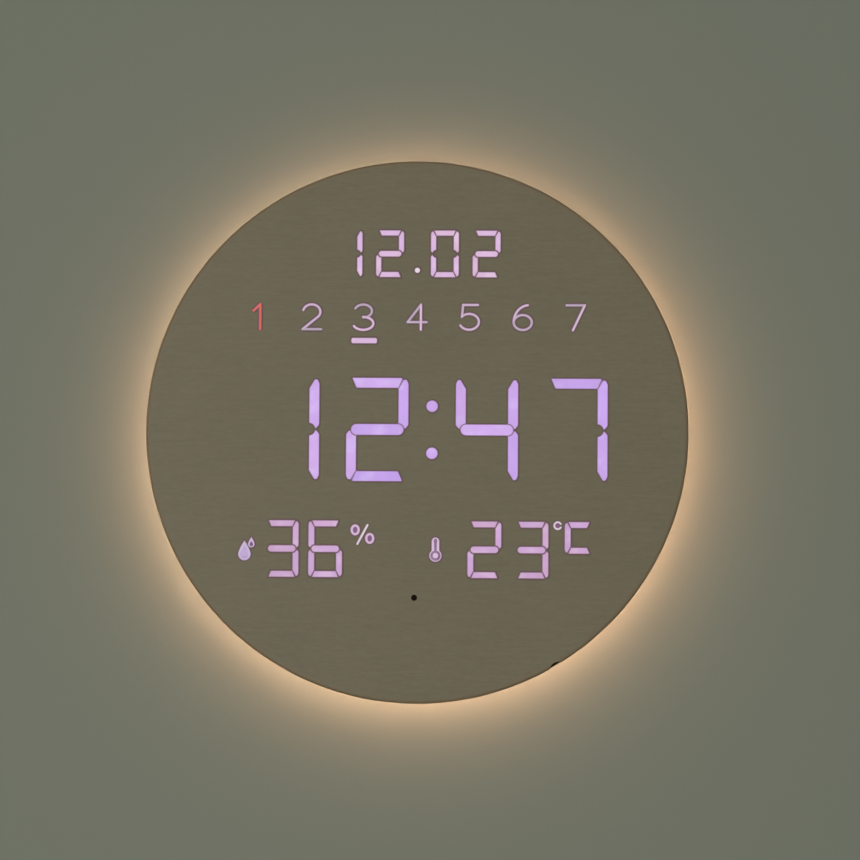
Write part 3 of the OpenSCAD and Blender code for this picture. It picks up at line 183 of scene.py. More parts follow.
def choice(**kind):
    """A maker of values in the sidebar that share a unit, a subtype or limits."""

    def make(name, description, default):
        values = {"name": name, "description": description, "default": default, **kind}
        if isinstance(default, tuple):
            return bpy.props.FloatVectorProperty(size=len(default), **values)
        if isinstance(default, int):
            return bpy.props.IntProperty(**values)
        return bpy.props.FloatProperty(**values)

    return make


a_colour = choice(subtype="COLOR", min=0, max=1)
a_length = choice(unit="LENGTH")
an_angle = choice(subtype="ANGLE")
a_share = choice(subtype="FACTOR", min=0, max=1)
a_power = choice(unit="POWER", min=0)
a_strength = choice(min=0)
a_number = choice(min=1)
a_focal_length = choice(unit="CAMERA", min=1)


class WALLCLOCK_PG_face(bpy.types.PropertyGroup):
    """Film over the disc."""

    colour: a_colour("Film colour", "Colour of the brushed film", (0.139, 0.118, 0.0685))
    hairline: a_share("Hairline contrast", "Share by which a hairline differs from the film", 0.42)
    roughness: a_share("Film roughness", "Roughness of the film", 0.52)
    radius: a_length("Face radius", "Outer radius of the film", 0.18997)
    fillet: a_length("Rim fillet", "Radius of the rounded rim", 0.003)
    thick: a_length("Film thickness", "Thickness of the film", 0.0004)
    sensor_place: a_length("Sensor place", "Middle of the sensor hole, across and up", (-0.0009, -0.116))
    sensor_radius: a_length("Sensor hole", "Radius of the sensor hole", 0.0021)
    notch_angle: an_angle("Notch place", "Direction of the rim notch from the right", math.radians(-59))
    notch: a_length("Rim notch", "Radius, depth into the rim and reach behind the film's front",
                    (0.0056, 0.0026, 0.006))


class WALLCLOCK_PG_display(bpy.types.PropertyGroup):
    """Lit digits, marks and signs."""

    time_digit: a_length("Time digit", "Width, height and stroke of a time digit", (0.0434, 0.0722, 0.0069))
    time_place: a_length("Time row", "Middle across and up, spacing in a pair and between the pairs",
                         (0.0109, 0.0012, 0.0624, 0.0766))
    date_digit: a_length("Date digit", "Width, height and stroke of a date digit", (0.0197, 0.033, 0.0038))
    date_place: a_length("Date row", "Middle across and up, spacing in a pair and between the pairs",
                         (0.0, 0.1245, 0.0292, 0.0384))
    climate_digit: a_length("Climate digit", "Width, height and stroke of a climate digit",
                            (0.0237, 0.0396, 0.0043))
    climate_up: a_length("Climate row", "Middle of the climate row up the face", -0.0823)
    segment_gap: a_length("Segment gap", "Dark gap between two segments", 0.0006)
    half_gap: a_length("Half gap", "Half the gap between an upper and a lower upright", 0.00075)
    skirt: a_length("Dark edge", "Reach of the dark edge round a lit segment", 0.0011)
    violet: a_colour("Violet", "Light of the time digits", (0.5, 0.32, 0.757))
    rose: a_colour("Rose", "Light of the date digits and the weekday bar", (0.64, 0.425, 0.61))
    dusk: a_colour("Dusky rose", "Light of the climate digits", (0.535, 0.325, 0.525))
    pale: a_colour("Pale", "Light of the marks and signs", (0.4, 0.32, 0.41))
    red: a_colour("Red", "Light of the first weekday mark", (0.58, 0.095, 0.07))
    shade: a_colour("Dark purple", "Edges of the lit pieces", (0.172, 0.09, 0.112))
    week_pitch: a_length("Weekday spacing", "Spacing of the weekday marks", 0.03695)
    week_up: a_length("Weekday row", "Middle of the weekday marks up the face", 0.08)
    mark_size: a_length("Weekday mark", "Width, height and stroke of a weekday mark",
                        (0.0132, 0.0174, 0.0019))


class WALLCLOCK_PG_light(bpy.types.PropertyGroup):
    """Light behind the disc."""

    colour: a_colour("Light colour", "Colour of the light behind the disc", (1.0, 0.66, 0.42))
    strength: a_strength("Ring strength", "Strength of the glowing ring itself", 1.35)
    throw_colour: a_colour("Throw colour", "Colour of the light that the ring throws", (1.0, 0.575, 0.4))
    throw: a_power("Throw", "Power that the ring throws outwards", 0.64)
    wash: a_power("Wash", "Power that the ring throws on the wall beside it", 0.23)
    lamps: a_number("Throw lamps", "Number of small lamps in a circle that throw the ring's light", 48)
    lean: a_share("Lean", "Share by which the ring is brighter below than above", 0.26)
    chips: a_number("Light chips", "Number of light chips behind the diffuser", 96)


class WALLCLOCK_PG_rear(bpy.types.PropertyGroup):
    """Rear cover and battery door."""

    colour: a_colour("Rear colour", "Moulded plastic of the rear cover", (0.03, 0.028, 0.025))
    ink: a_colour("Ink", "Printed signs on the rear cover", (0.36, 0.35, 0.32))
    sign_place: a_length("First sign", "Place of the first button's sign, across and up", (0.01, 0.009))
    sign_pitch: a_length("Sign spacing", "Spacing of the buttons' signs", 0.014)
    door: a_length("Door middle", "Middle of the battery door, across and up", (-0.034, -0.004))
    door_signs: a_length("Door signs", "Distance of the locked and free signs from the middle", 0.0192)
    door_dot: a_length("Door dot", "Distance of the door's own dot from its middle", 0.0128)
    label: a_length("Label place", "Middle up, width and height of the bare label place",
                    (-0.053, 0.072, 0.034))
    border: a_length("Border", "Radius at which the smooth border begins", 0.139)


class WALLCLOCK_PG_stage(bpy.types.PropertyGroup):
    """Wall, floor, lamps and camera."""

    wall: a_colour("Wall colour", "Paint of the wall", (0.18, 0.194, 0.15))
    floor: a_colour("Floor colour", "Plain pale floor", (0.74, 0.74, 0.72))
    sky: a_strength("Room light", "Strength of the even light from all round", 0.55)
    key: a_power("Front lamp", "Power of the large soft lamp", 29.0)
    rear: a_power("Rear lamps", "Power of each soft lamp behind the wall", 18.0)
    lens: a_focal_length("Focal length", "Focal length of the camera", 85.0)
    across: an_angle("Camera across", "Angle of the camera right of the face's axis", math.radians(1.4))
    below: an_angle("Camera below", "Angle of the camera below the face's axis", math.radians(1.9))
    roll: an_angle("Camera roll", "Turn of the camera about its own axis", math.radians(0.35))


def tint(colour, factor):
    """A colour made lighter or darker."""
    return tuple(min(1.0, part * factor) for part in colour)


class Wire:
    """A shader value that takes part in sums; each operation adds one Math node."""

    def __init__(self, paint, socket):
        self.paint = paint
        self.socket = socket

    def math(self, operation, first, second=0.0):
        """One Math node on two values."""
        return self.paint.add("ShaderNodeMath", {"operation": operation}, {0: first, 1: second})

    def __add__(self, other):
        return self.math("ADD", self, other)

    def __sub__(self, other):
        return self.math("SUBTRACT", self, other)

    def __rsub__(self, other):
        return self.math("SUBTRACT", other, self)

    def __mul__(self, other):
        return self.math("MULTIPLY", self, other)

    def __abs__(self):
        return self.math("ABSOLUTE", self)

    def most(self, other):
        """The larger of two values."""
        return self.math("MAXIMUM", self, other)

    def least(self, other):
        """The smaller of two values."""
        return self.math("MINIMUM", self, other)

    def wave(self, turns):
        """Cosine of the value times a number."""
        return self.math("COSINE", self * turns)

    __radd__ = __add__
    __rmul__ = __mul__


class Paint:
    """The nodes of a material, or of the world, under construction."""

    def __init__(self, name, shelf="materials"):
        self.owner = getattr(bpy.data, shelf).new(name)
        self.owner.use_nodes = True
        self.tree = self.owner.node_tree
        self.tree.nodes.clear()

    def feed(self, socket, value):
        """Links a wire to a socket, or sets the socket to a number, colour or vector."""
        if isinstance(value, Wire):
            self.tree.links.new(value.socket, socket)
        elif socket.type == "RGBA":
            socket.default_value = (*value[:3], 1.0)
        else:
            socket.default_value = value

    def add(self, kind, settings=None, sockets=None, out=0):
        """Any node: its settings first, then its sockets by name or number."""
        node = self.tree.nodes.new(kind)
        for key, value in (settings or {}).items():
            setattr(node, key, value)
        for key, value in (sockets or {}).items():
            self.feed(node.inputs[key], value)
        return Wire(self, node.outputs[out]) if len(node.outputs) else None

    def place(self, scale=(1.0, 1.0, 1.0), turn=(0.0, 0.0, 0.0)):
        """Object coordinates, turned and scaled."""
        where = self.add("ShaderNodeTexCoord", out="Object")
        return self.add("ShaderNodeMapping", None, {"Vector": where, "Scale": scale, "Rotation": turn})

    def spots(self):
        """Places across and up the clock."""
        return [self.add("ShaderNodeSeparateXYZ", None, {0: self.place()}, out=axis) for axis in ("X", "Z")]

    def apart(self, across, up):
        """Distance from the origin: the root of the sum of squares."""
        return across.math("SQRT", across * across + up * up)

    def noise(self, scale, detail=3.0, roughness=0.55, stretch=(1.0, 1.0, 1.0)):
        """Noise from 0 to 1, finer along the axes that are stretched more."""
        return self.add("ShaderNodeTexNoise", None, {
            "Vector": self.place(stretch), "Scale": scale, "Detail": detail, "Roughness": roughness})

    def ease(self, value, low, high):
        """0 below low, 1 above high, smooth between."""
        return self.add("ShaderNodeMapRange", {"interpolation_type": "SMOOTHSTEP"},
                        {"Value": value, "From Min": low, "From Max": high})

    def stamp(self, distance):
        """1 where a distance is below nought, with a soft edge."""
        return 1 - self.ease(distance, -PRINT_EDGE, PRINT_EDGE)

    def mix(self, factor, first, second):
        """A colour between two colours."""
        return self.add("ShaderNodeMix", {"data_type": "RGBA"}, {0: factor, 6: first, 7: second}, out=2)

    def shades(self, factor, colour, low, high):
        """A colour between two shades of one colour."""
        return self.mix(factor, tint(colour, low), tint(colour, high))

    def scaled(self, colour, factor):
        """A colour times a value."""
        return self.add("ShaderNodeVectorMath", {"operation": "SCALE"}, {0: colour, "Scale": factor})

    def tag(self, name):
        """A number that the mesh carries at each point."""
        return self.add("ShaderNodeAttribute", {"attribute_name": name}, out="Fac")

    def bump(self, height, distance):
        """A normal from a height in shares of a distance."""
        return self.add("ShaderNodeBump", None, {"Height": height, "Distance": distance, "Strength": 1.0})

    def seen(self):
        """1 for what is seen straight, in a reflection or through glass, and 0 for other light."""
        rays = ("Is Camera Ray", "Is Glossy Ray", "Is Transmission Ray")
        straight, mirrored, passed = (self.add("ShaderNodeLightPath", out=ray) for ray in rays)
        return (straight + mirrored + passed).least(1.0)

    def blend(self, factor, first, second):
        """A shader between two shaders."""
        return self.add("ShaderNodeMixShader", None, {0: factor, 1: first, 2: second})

    def close(self, shader, end="ShaderNodeOutputMaterial"):
        """Ends the nodes in one shader and gives back what they belong to."""
        self.add(end, None, {"Surface": shader})
        return self.owner

    def finish(self, sockets):
        """Closes the material with one principled surface."""
        return self.close(self.add("ShaderNodeBsdfPrincipled", None, sockets))


def moulded(name, colour, rough=0.5, grain=1800.0, spread=0.12, metallic=0.0, coat=0.0, gloss=0.5):
    """Moulded plastic: a slow change of tone, a fine spark texture in height and roughness."""
    paint = Paint(name)
    slow = paint.noise(22.0)
    fine = paint.noise(grain, 2.0)
    return paint.finish({
        "Base Color": paint.shades(slow * 0.6 + fine * 0.4, colour, 1 - spread, 1 + spread),
        "Roughness": rough - 0.06 + fine * 0.12, "Metallic": metallic, "Coat Weight": coat,
        "Coat Roughness": 0.12, "Specular IOR Level": gloss, "Normal": paint.bump(fine, SPARK_DEPTH),
    })


def drawn_metal(name, colour, rough, stretch=(1.0, 1.0, 1.0), grain=900.0):
    """Plated or drawn metal: streaks along one direction, with cloudy roughness."""
    paint = Paint(name)
    streak = paint.noise(grain, 4.0, 0.65, stretch)
    cloud = paint.noise(130.0)
    return paint.finish({
        "Base Color": paint.shades(cloud * 0.5 + streak * 0.5, colour, 0.82, 1.15), "Metallic": 1.0,
        "Roughness": rough - 0.1 + streak * 0.12 + cloud * 0.1, "Normal": paint.bump(streak, 0.00001),
    })


def brushed_film(name, face):
    """Brushed film: hairlines, long in x and thin in z, and a painted sheen where the rim bends: a warmer,
    slightly lighter tone standing in for the light that the bent rim catches.
    """
    paint = Paint(name)
    short_lines = paint.noise(1.0, 4.0, 0.62, (190.0, 190.0, 900.0))
    long_lines = paint.noise(1.0, stretch=(45.0, 45.0, 700.0))
    cloud = paint.noise(14.0, 2.0)
    lines = short_lines * 0.5 + long_lines * 0.3 + cloud * 0.2
    body = paint.shades(lines, face.colour, 1 - face.hairline, 1 + face.hairline)
    reach = paint.apart(*paint.spots())
    # Painted sheen: where the rim bends, the film is painted warmer and a little lighter, for the light that
    # the bent rim catches.
    bend = paint.ease(reach, face.radius - 1.35 * face.fillet, face.radius - 0.75 * face.fillet)
    bent = tuple(part * share for part, share in zip(face.colour, (1.12, 1.02, 0.96)))
    return paint.finish({
        "Base Color": paint.mix(bend, body, bent), "Roughness": face.roughness - 0.08 + lines * 0.16,
        "Specular IOR Level": 0.35, "Normal": paint.bump(lines, 0.00002),
    })


def lit_opal(name, light, warm, scene, inset=OPAL_INSET, milk=0.24):
    """Lit opal set in the film.

    The mesh carries the distance from the outline, negative outside it. Outside, the film's colour turns to
    a purple shade towards the outline. Inside, past an inset, the segment's own light begins, with paler
    patches and a little more light in its middle.
    """
    paint = Paint(name)
    edge = paint.tag("edge")
    tone = paint.tag("tone")
    fine = paint.noise(230.0, 2.0)
    patch = paint.ease(paint.noise(95.0, 1.0), 0.48, 0.72)
    inside = paint.ease(edge, inset - OPAL_BLUR, inset + OPAL_BLUR)
    near = paint.ease(edge, *OPAL_FRINGE)
    fringe = paint.mix(near, scene.wall_clock_face.colour, scene.wall_clock_display.shade)
    milky = tuple(part + milk * (1.0 - part) for part in light)
    own = paint.mix(patch * 0.45, paint.mix(tone, light, warm), milky)
    level = 0.84 + tone.math("FRACT", tone * 7.31) * 0.1 + paint.tag("glow") * 0.08 + fine * 0.12
    bright = paint.scaled(paint.mix(paint.tag("white"), own, (0.74, 0.65, 0.72)), level)
    return paint.finish({
        "Base Color": paint.mix(inside, fringe, tint(light, 0.12)), "Roughness": 0.45,
        "Emission Color": paint.mix(inside, (0.0, 0.0, 0.0), bright), "Emission Strength": 1.0,
        "Specular IOR Level": 0.3,
    })


def glowing_ring(light):
    """Opal ring lit from inside: brighter before each light chip and a little brighter below."""
    paint = Paint("glowing opal ring")
    across, up = paint.spots()
    angle = up.math("ARCTAN2", up, across)
    ripple = (angle + math.pi / light.chips).wave(float(light.chips))
    lean = 1.0 - up * (light.lean * 0.5 / DRUM_RADIUS) + across * (light.lean * 0.15 / DRUM_RADIUS)
    cloud = paint.noise(60.0)
    level = lean * (0.93 + ripple * 0.07) * (0.95 + cloud * 0.1)
    return paint.finish({
        "Base Color": paint.mix(cloud, (0.82, 0.78, 0.7), (0.9, 0.87, 0.8)), "Roughness": 0.55,
        "Emission Color": paint.scaled(paint.shades(cloud, light.colour, 1.0, 0.97), level),
        "Emission Strength": light.strength,
    })


def circuit_board():
    """Solder mask over copper: straight conductors in two directions, dark between them."""
    paint = Paint("circuit board")
    upright_plane = paint.place(turn=(math.radians(90), 0.0, 0.0))
    rows = paint.add("ShaderNodeTexBrick", {"offset": 0.37, "squash": 1.0}, {
        "Vector": upright_plane, "Scale": 90.0, "Mortar Size": 0.06,
        "Color1": (0.03, 0.12, 0.05), "Color2": (0.024, 0.1, 0.042), "Mortar": (0.05, 0.19, 0.075)})
    fine = paint.noise(700.0)
    return paint.finish({
        "Base Color": rows, "Roughness": 0.32 + fine * 0.12, "Normal": paint.bump(fine, 0.00001),
        "Coat Weight": 0.25, "Coat Roughness": 0.15,
    })


def striped_ribbon():
    """Flat ribbon cable: a ridge over each core along the cable, painted lighter on the ridge and darker
    between the ridges as painted shade.
    """
    paint = Paint("ribbon cable")
    ridge = paint.spots()[0].wave(2 * math.pi / CORE_PITCH)
    fine = paint.noise(400.0)
    return paint.finish({
        # Painted shade: the colour follows the ridges, lighter over each core and darker in the hollows
        # between them.
        "Base Color": paint.mix(ridge * 0.5 + 0.5, (0.5, 0.5, 0.48), (0.68, 0.68, 0.65)),
        "Roughness": 0.4 + fine * 0.15, "Normal": paint.bump(ridge, 0.00008),
    })


def smoked_window():
    """Smoked window: near black and dull, with a faint brown cloud."""
    paint = Paint("smoked window")
    cloud = paint.noise(300.0)
    return paint.finish({
        "Base Color": paint.mix(cloud, (0.005, 0.0025, 0.002), (0.009, 0.005, 0.004)),
        "Roughness": 0.3 + cloud * 0.1, "Specular IOR Level": 0.02,
    })


def rear_moulding(rear):
    """Rear cover: sparked plastic inside a smooth border, a bare smooth label place with a groove round it
    that is painted darker as painted shade, and printed signs.

    A sign is where a distance falls below nought: a bar has the larger of its two overshoots, a ring the
    distance from its middle line less half its width, and the signs join by the smallest distance.
    """
    paint = Paint("rear cover")
    across, up = paint.spots()
    fine = paint.noise(1500.0, 2.0)
    slow = paint.noise(22.0)

    def bar(x, z, wide, high):
        return (abs(across - x) - wide).most(abs(up - z) - high)

    def disc(x, z, radius):
        return paint.apart(across - x, up - z) - radius

    def ring(x, z, radius, half):
        return abs(disc(x, z, radius)) - half

    first, second, third, fourth = (rear.sign_place[0] + step * rear.sign_pitch for step in range(4))
    row = rear.sign_place[1]
    rays = (0.4 - up.math("ARCTAN2", up - row, across - third).wave(SUN_RAYS)) * 0.001
    door_x, door_z = rear.door
    free = rear.door_signs * math.sqrt(0.5)
    signs = [
        bar(first, row, BAR_HALF, BAR_THIN),
        bar(second, row, BAR_HALF, BAR_THIN), bar(second, row, BAR_THIN, BAR_HALF),
        disc(third, row, SUN_CORE), ring(third, row, RING_RADIUS, RAY_HALF).most(rays),
        ring(fourth, row, RING_RADIUS, HAND_THIN), bar(fourth, row + LONG_HAND[0], HAND_THIN, LONG_HAND[1]),
        bar(fourth + SHORT_HAND[0], row, SHORT_HAND[1], HAND_THIN),
        disc(door_x, door_z + rear.door_signs, LOCKED_RADIUS),
        ring(door_x + free, door_z + free, FREE_RADIUS, HAND_THIN),
    ]
    nearest = signs[0]
    for sign in signs[1:]:
        nearest = nearest.least(sign)
    label_up, label_wide, label_high = rear.label
    side = (abs(across) - (label_wide / 2 - LABEL_CORNER)).most(0.0)
    over = (abs(up - label_up) - (label_high / 2 - LABEL_CORNER)).most(0.0)
    label = paint.apart(side, over) - LABEL_CORNER
    # Groove round the label place: a dent in the bump, and painted darker as a painted shade in the groove.
    groove_and_painted_shade = 1 - paint.ease(abs(label + GROOVE_IN), *GROOVE_HALVES)
    border = paint.ease(paint.apart(across, up), rear.border, rear.border + 0.0004)
    smooth = paint.stamp(label).most(border)
    tone = paint.shades(slow * 0.6 + fine * 0.4, rear.colour, 0.86, 1.14)
    body = paint.mix(smooth * 0.8, tone, tint(rear.colour, 0.72))
    printed = paint.mix(paint.stamp(nearest), body, rear.ink)
    return paint.finish({
        # Painted shade in the groove: its colour falls to 0.3 of the cover's.
        "Base Color": paint.mix(groove_and_painted_shade * 0.6, printed, tint(rear.colour, 0.3)),
        "Roughness": 0.58 - smooth * 0.24 + slow * 0.1,
        "Normal": paint.bump(fine * (1 - smooth) - groove_and_painted_shade, 0.00018),
    })


def door_moulding(rear):
    """Battery door: satin plastic with fine turned rings and one printed dot."""
    paint = Paint("battery door")
    across, up = paint.spots()
    aside = across - rear.door[0]
    above = up - rear.door[1]
    turned = paint.apart(aside, above).wave(2 * math.pi / TURNED_PITCH) * 0.5 + 0.5
    slow = paint.noise(60.0)
    dot = paint.apart(aside, above - rear.door_dot) - DOOR_DOT_RADIUS
    body = paint.shades(slow, rear.colour, 1.35, 1.75)
    return paint.finish({
        "Base Color": paint.mix(paint.stamp(dot), body, rear.ink),
        "Roughness": 0.36 + turned * 0.08 + slow * 0.06, "Normal": paint.bump(turned, 0.00002),
    })


PLASTICS = {
    "black_shell": ("textured black shell", (0.03, 0.028, 0.025), {"rough": 0.54, "grain": 1500.0}),
    "button_grey": ("satin grey button", (0.26, 0.25, 0.23), {"rough": 0.42, "grain": 2600.0}),
    "opal_guide": ("opal guide", (0.68, 0.65, 0.6), {"rough": 0.5, "spread": 0.05}),
    "white_reflector": ("white reflector", (0.85, 0.85, 0.82), {"rough": 0.45, "spread": 0.04}),
    "chip_black": ("black chip body", (0.012, 0.012, 0.013), {"rough": 0.48, "grain": 3200.0}),
    "led_yellow": ("light chip", (0.85, 0.75, 0.45), {"rough": 0.28, "coat": 0.4}),
    "plug_white": ("cream plug", (0.8, 0.78, 0.7), {"rough": 0.42, "spread": 0.05}),
    "lead_red": ("red lead", (0.42, 0.03, 0.02), {"rough": 0.4}),
    "strip_white": ("white light strip", (0.85, 0.84, 0.8), {"rough": 0.4, "spread": 0.04}),
    "black_screw": ("black zinc screw", (0.05, 0.05, 0.054), {"rough": 0.36, "metallic": 0.85}),
    "capacitor_blue": ("dark blue sleeve", (0.017, 0.03, 0.07), {"rough": 0.3, "coat": 0.3}),
}
METALS = {
    "zinc_steel": ("zinc plated steel", (0.5, 0.52, 0.54), {"rough": 0.36, "grain": 140.0}),
    "bright_steel": ("bright steel", (0.6, 0.61, 0.63), {"rough": 0.24, "stretch": (1.0, 6.0, 1.0)}),
    "contact_brass": ("brass contact", (0.6, 0.45, 0.16), {"rough": 0.28, "stretch": (0.2, 1.0, 1.0)}),
}


def slot_material(slot, scene):
    """The finish of one of the record's material slots."""
    for table, finish in ((PLASTICS, moulded), (METALS, drawn_metal)):
        if slot in table:
            name, colour, options = table[slot]
            return finish(name, colour, **options)
    display = scene.wall_clock_display
    if slot == "brushed_film":
        return brushed_film("brushed film", scene.wall_clock_face)
    if slot == "opal_diffuser":
        return glowing_ring(scene.wall_clock_light)
    if slot in ("lit_violet", "lit_rose"):
        return lit_opal(slot, display.violet if slot == "lit_violet" else display.rose, display.rose, scene)
    plain = {"circuit_board": circuit_board, "ribbon_grey": striped_ribbon, "smoked_window": smoked_window}
    return plain[slot]()


def on_face(across, up, off):
    """Row-frame points from places across the face, up the face and off the wall: (across, -off, up)."""
    return np.stack(np.broadcast_arrays(across, -np.asarray(off, float), up), -1)


def arc(across, up, wide, high, start, end, count=24):
    """Points on an ellipse: centre plus half axes times cosine and sine of evenly stepped degrees."""
    angle = np.radians(np.linspace(start, end, count))
    return np.stack([across + wide * np.cos(angle), up + high * np.sin(angle)], -1)


def ellipse(across, up, wide, high, count=ELLIPSE_POINTS):
    """A whole ellipse, whose last point is one step before its first."""
    return arc(across, up, wide, high, 0, 360 - 360 / count, count)


def along(path, count, closed):
    """Points at equal steps of a path's length."""
    if closed:
        path = np.vstack([path, path[:1]])
    reach = np.concatenate([[0.0], np.cumsum(np.hypot(*np.diff(path, axis=0).T))])
    steps = np.linspace(0.0, reach[-1], count, endpoint=not closed)
    return np.stack([np.interp(steps, reach, path[:, axis]) for axis in (0, 1)], -1)


def loop(corners):
    """A closed outline at equal steps, turned counter-clockwise by the sign of its shoelace area."""
    corners = np.asarray(corners, float)
    after = np.roll(corners, -1, 0)
    area = np.sum(corners[:, 0] * after[:, 1] - after[:, 0] * corners[:, 1])
    return along(corners if area > 0 else corners[::-1], LOOP_POINTS, True)


def stroke(*points):
    """A straight or bent stroke at equal steps."""
    return along(np.vstack(points), STROKE_POINTS, False)


# Strokes of the plain numerals 1 to 7 in a box one wide and one high about the origin
NUMERALS = (
    (stroke((-0.3, 0.24), (0.06, 0.5)), stroke((0.06, 0.5), (0.06, -0.5))),
    (stroke(arc(0.0, 0.2, 0.46, 0.3, 165, -35), (-0.48, -0.5)), stroke((-0.48, -0.5), (0.5, -0.5))),
    (stroke(arc(-0.06, 0.24, 0.46, 0.26, 155, -90)), stroke(arc(-0.06, -0.26, 0.54, 0.26, 90, -155))),
    (stroke((0.2, 0.5), (-0.5, -0.2)), stroke((-0.5, -0.2), (0.5, -0.2)), stroke((0.2, 0.5), (0.2, -0.5))),
    (stroke((0.42, 0.5), (-0.36, 0.5)), stroke((-0.36, 0.5), (-0.42, 0.02)),
     stroke(arc(-0.04, -0.18, 0.52, 0.32, 138, -152))),
    (stroke(arc(0.34, -0.2, 0.82, 0.7, 96, 180)), stroke(arc(0.0, -0.2, 0.48, 0.3, 180, -180, 48))),
    (stroke((-0.48, 0.5), (0.48, 0.5)), stroke((0.48, 0.5), (-0.14, -0.5))),
)


def crossbar(wide, high, thick, display):
    """Top segment: a trapezoid under the digit's upper edge, whose slant is in shares of the stroke."""
    outer = wide / 2 - 0.6 * thick
    inner = wide / 2 - 1.02 * thick
    top = high / 2
    return np.array([(-outer, top), (outer, top), (inner, top - thick), (-inner, top - thick)])


def mitre(side, top, thick, display):
    """Mitred tip of an upright, from its inner corner over the tip to its side, in shares of the stroke."""
    return np.array([
        (side - thick, top - thick - display.segment_gap), (side - 0.45 * thick, top - 0.16 * thick),
        (side - 0.18 * thick, top - 0.2 * thick), (side, top - 0.58 * thick),
    ])


def upright(wide, high, thick, display):
    """Upper right segment: a mitred tip, a straight side and a foot hollowed round the middle segment."""
    side = wide / 2
    radius = 0.55 * thick + display.segment_gap
    centre = side - 1.03 * thick
    start = math.degrees(math.asin(display.half_gap / radius))
    end = math.degrees(math.acos((side - thick - centre) / radius))
    tip = mitre(side, high / 2, thick, display)
    foot = [(side, 0.47 * thick), (side - 0.3 * thick, display.half_gap)]
    return np.vstack([tip, foot, arc(centre, 0.0, radius, radius, start, end, 10)])


def middle(wide, high, thick, display):
    """Middle segment: a bar with round ends."""
    radius = 0.55 * thick
    reach = wide / 2 - 0.48 * thick - radius
    ends = ((reach, -90), (-reach, 90))
    return np.vstack([arc(across, 0.0, radius, radius, start, start + 180, 14) for across, start in ends])


def sidebar(wide, high, thick, display):
    """Upright of the scale's letter: a mitred tip at both ends."""
    tip = mitre(wide / 2, high / 2, thick, display)
    return np.vstack([tip, tip[::-1] * (1, -1)])


SEGMENT_FORMS = {
    "a": (crossbar, (1, 1)), "b": (upright, (1, 1)), "c": (upright, (1, -1)), "d": (crossbar, (1, -1)),
    "e": (upright, (-1, -1)), "f": (upright, (-1, 1)), "g": (middle, (1, 1)), "s": (sidebar, (-1, 1)),
}


def digit_loops(centres, size, reading, display):
    """Outlines of the lit segments of a row of digits, each formed at the origin, mirrored and moved."""
    found = []
    for centre, digit in zip(centres, reading):
        for segment in LIT_SEGMENTS[digit]:
            form, sign = SEGMENT_FORMS[segment]
            found.append(loop(form(*size, display) * sign) + centre)
    return found


def pair_centres(place):
    """Centres of two pairs of digits about a middle."""
    across, up, pitch, group = place
    steps = np.array([-group / 2 - pitch, -group / 2, group / 2, group / 2 + pitch])
    return np.stack([across + steps, np.full(4, up)], -1)


def path_distance(points, starts, ends):
    """Shortest distance from points (sets, m, 2) to the lines between starts and ends (sets, n, 2)."""
    start = starts[:, None]
    step = ends[:, None] - start
    reach = points[:, :, None] - start
    share = np.clip((reach * step).sum(-1) / (step ** 2).sum(-1), 0, 1)
    return np.linalg.norm(reach - share[..., None] * step, axis=-1).min(-1)


def edge_distance(points, loops):
    """Shortest distance from points (pieces, m, 2) to each piece's closed outline (pieces, n, 2)."""
    return path_distance(points, loops, np.roll(loops, -1, 1))


def sheath(rows, first=None, last=None, ring=False):
    """Vertices and faces of grids (pieces, rows, columns, 3) whose columns close.

    The rows close too in a ring, and a pole closes an open end otherwise.
    """
    pieces, count, columns, _ = rows.shape
    index = np.arange(pieces * count * columns).reshape(pieces, count, columns)
    beside = np.roll(index, -1, 2)
    quads = np.stack([index, beside, np.roll(beside, -1, 1), np.roll(index, -1, 1)], -1)
    faces = (quads if ring else quads[:, :-1]).reshape(-1, 4).tolist()
    points = [rows.reshape(-1, 3)]
    total = index.size
    for pole, row in ((first, 0), (last, count - 1)):
        if pole is None:
            continue
        hub = np.broadcast_to(total + np.arange(pieces)[:, None], (pieces, columns))
        faces += np.stack([hub, index[:, row], beside[:, row]], -1).reshape(-1, 3).tolist()
        points.append(pole)
        total += pieces
    return np.vstack(points), faces


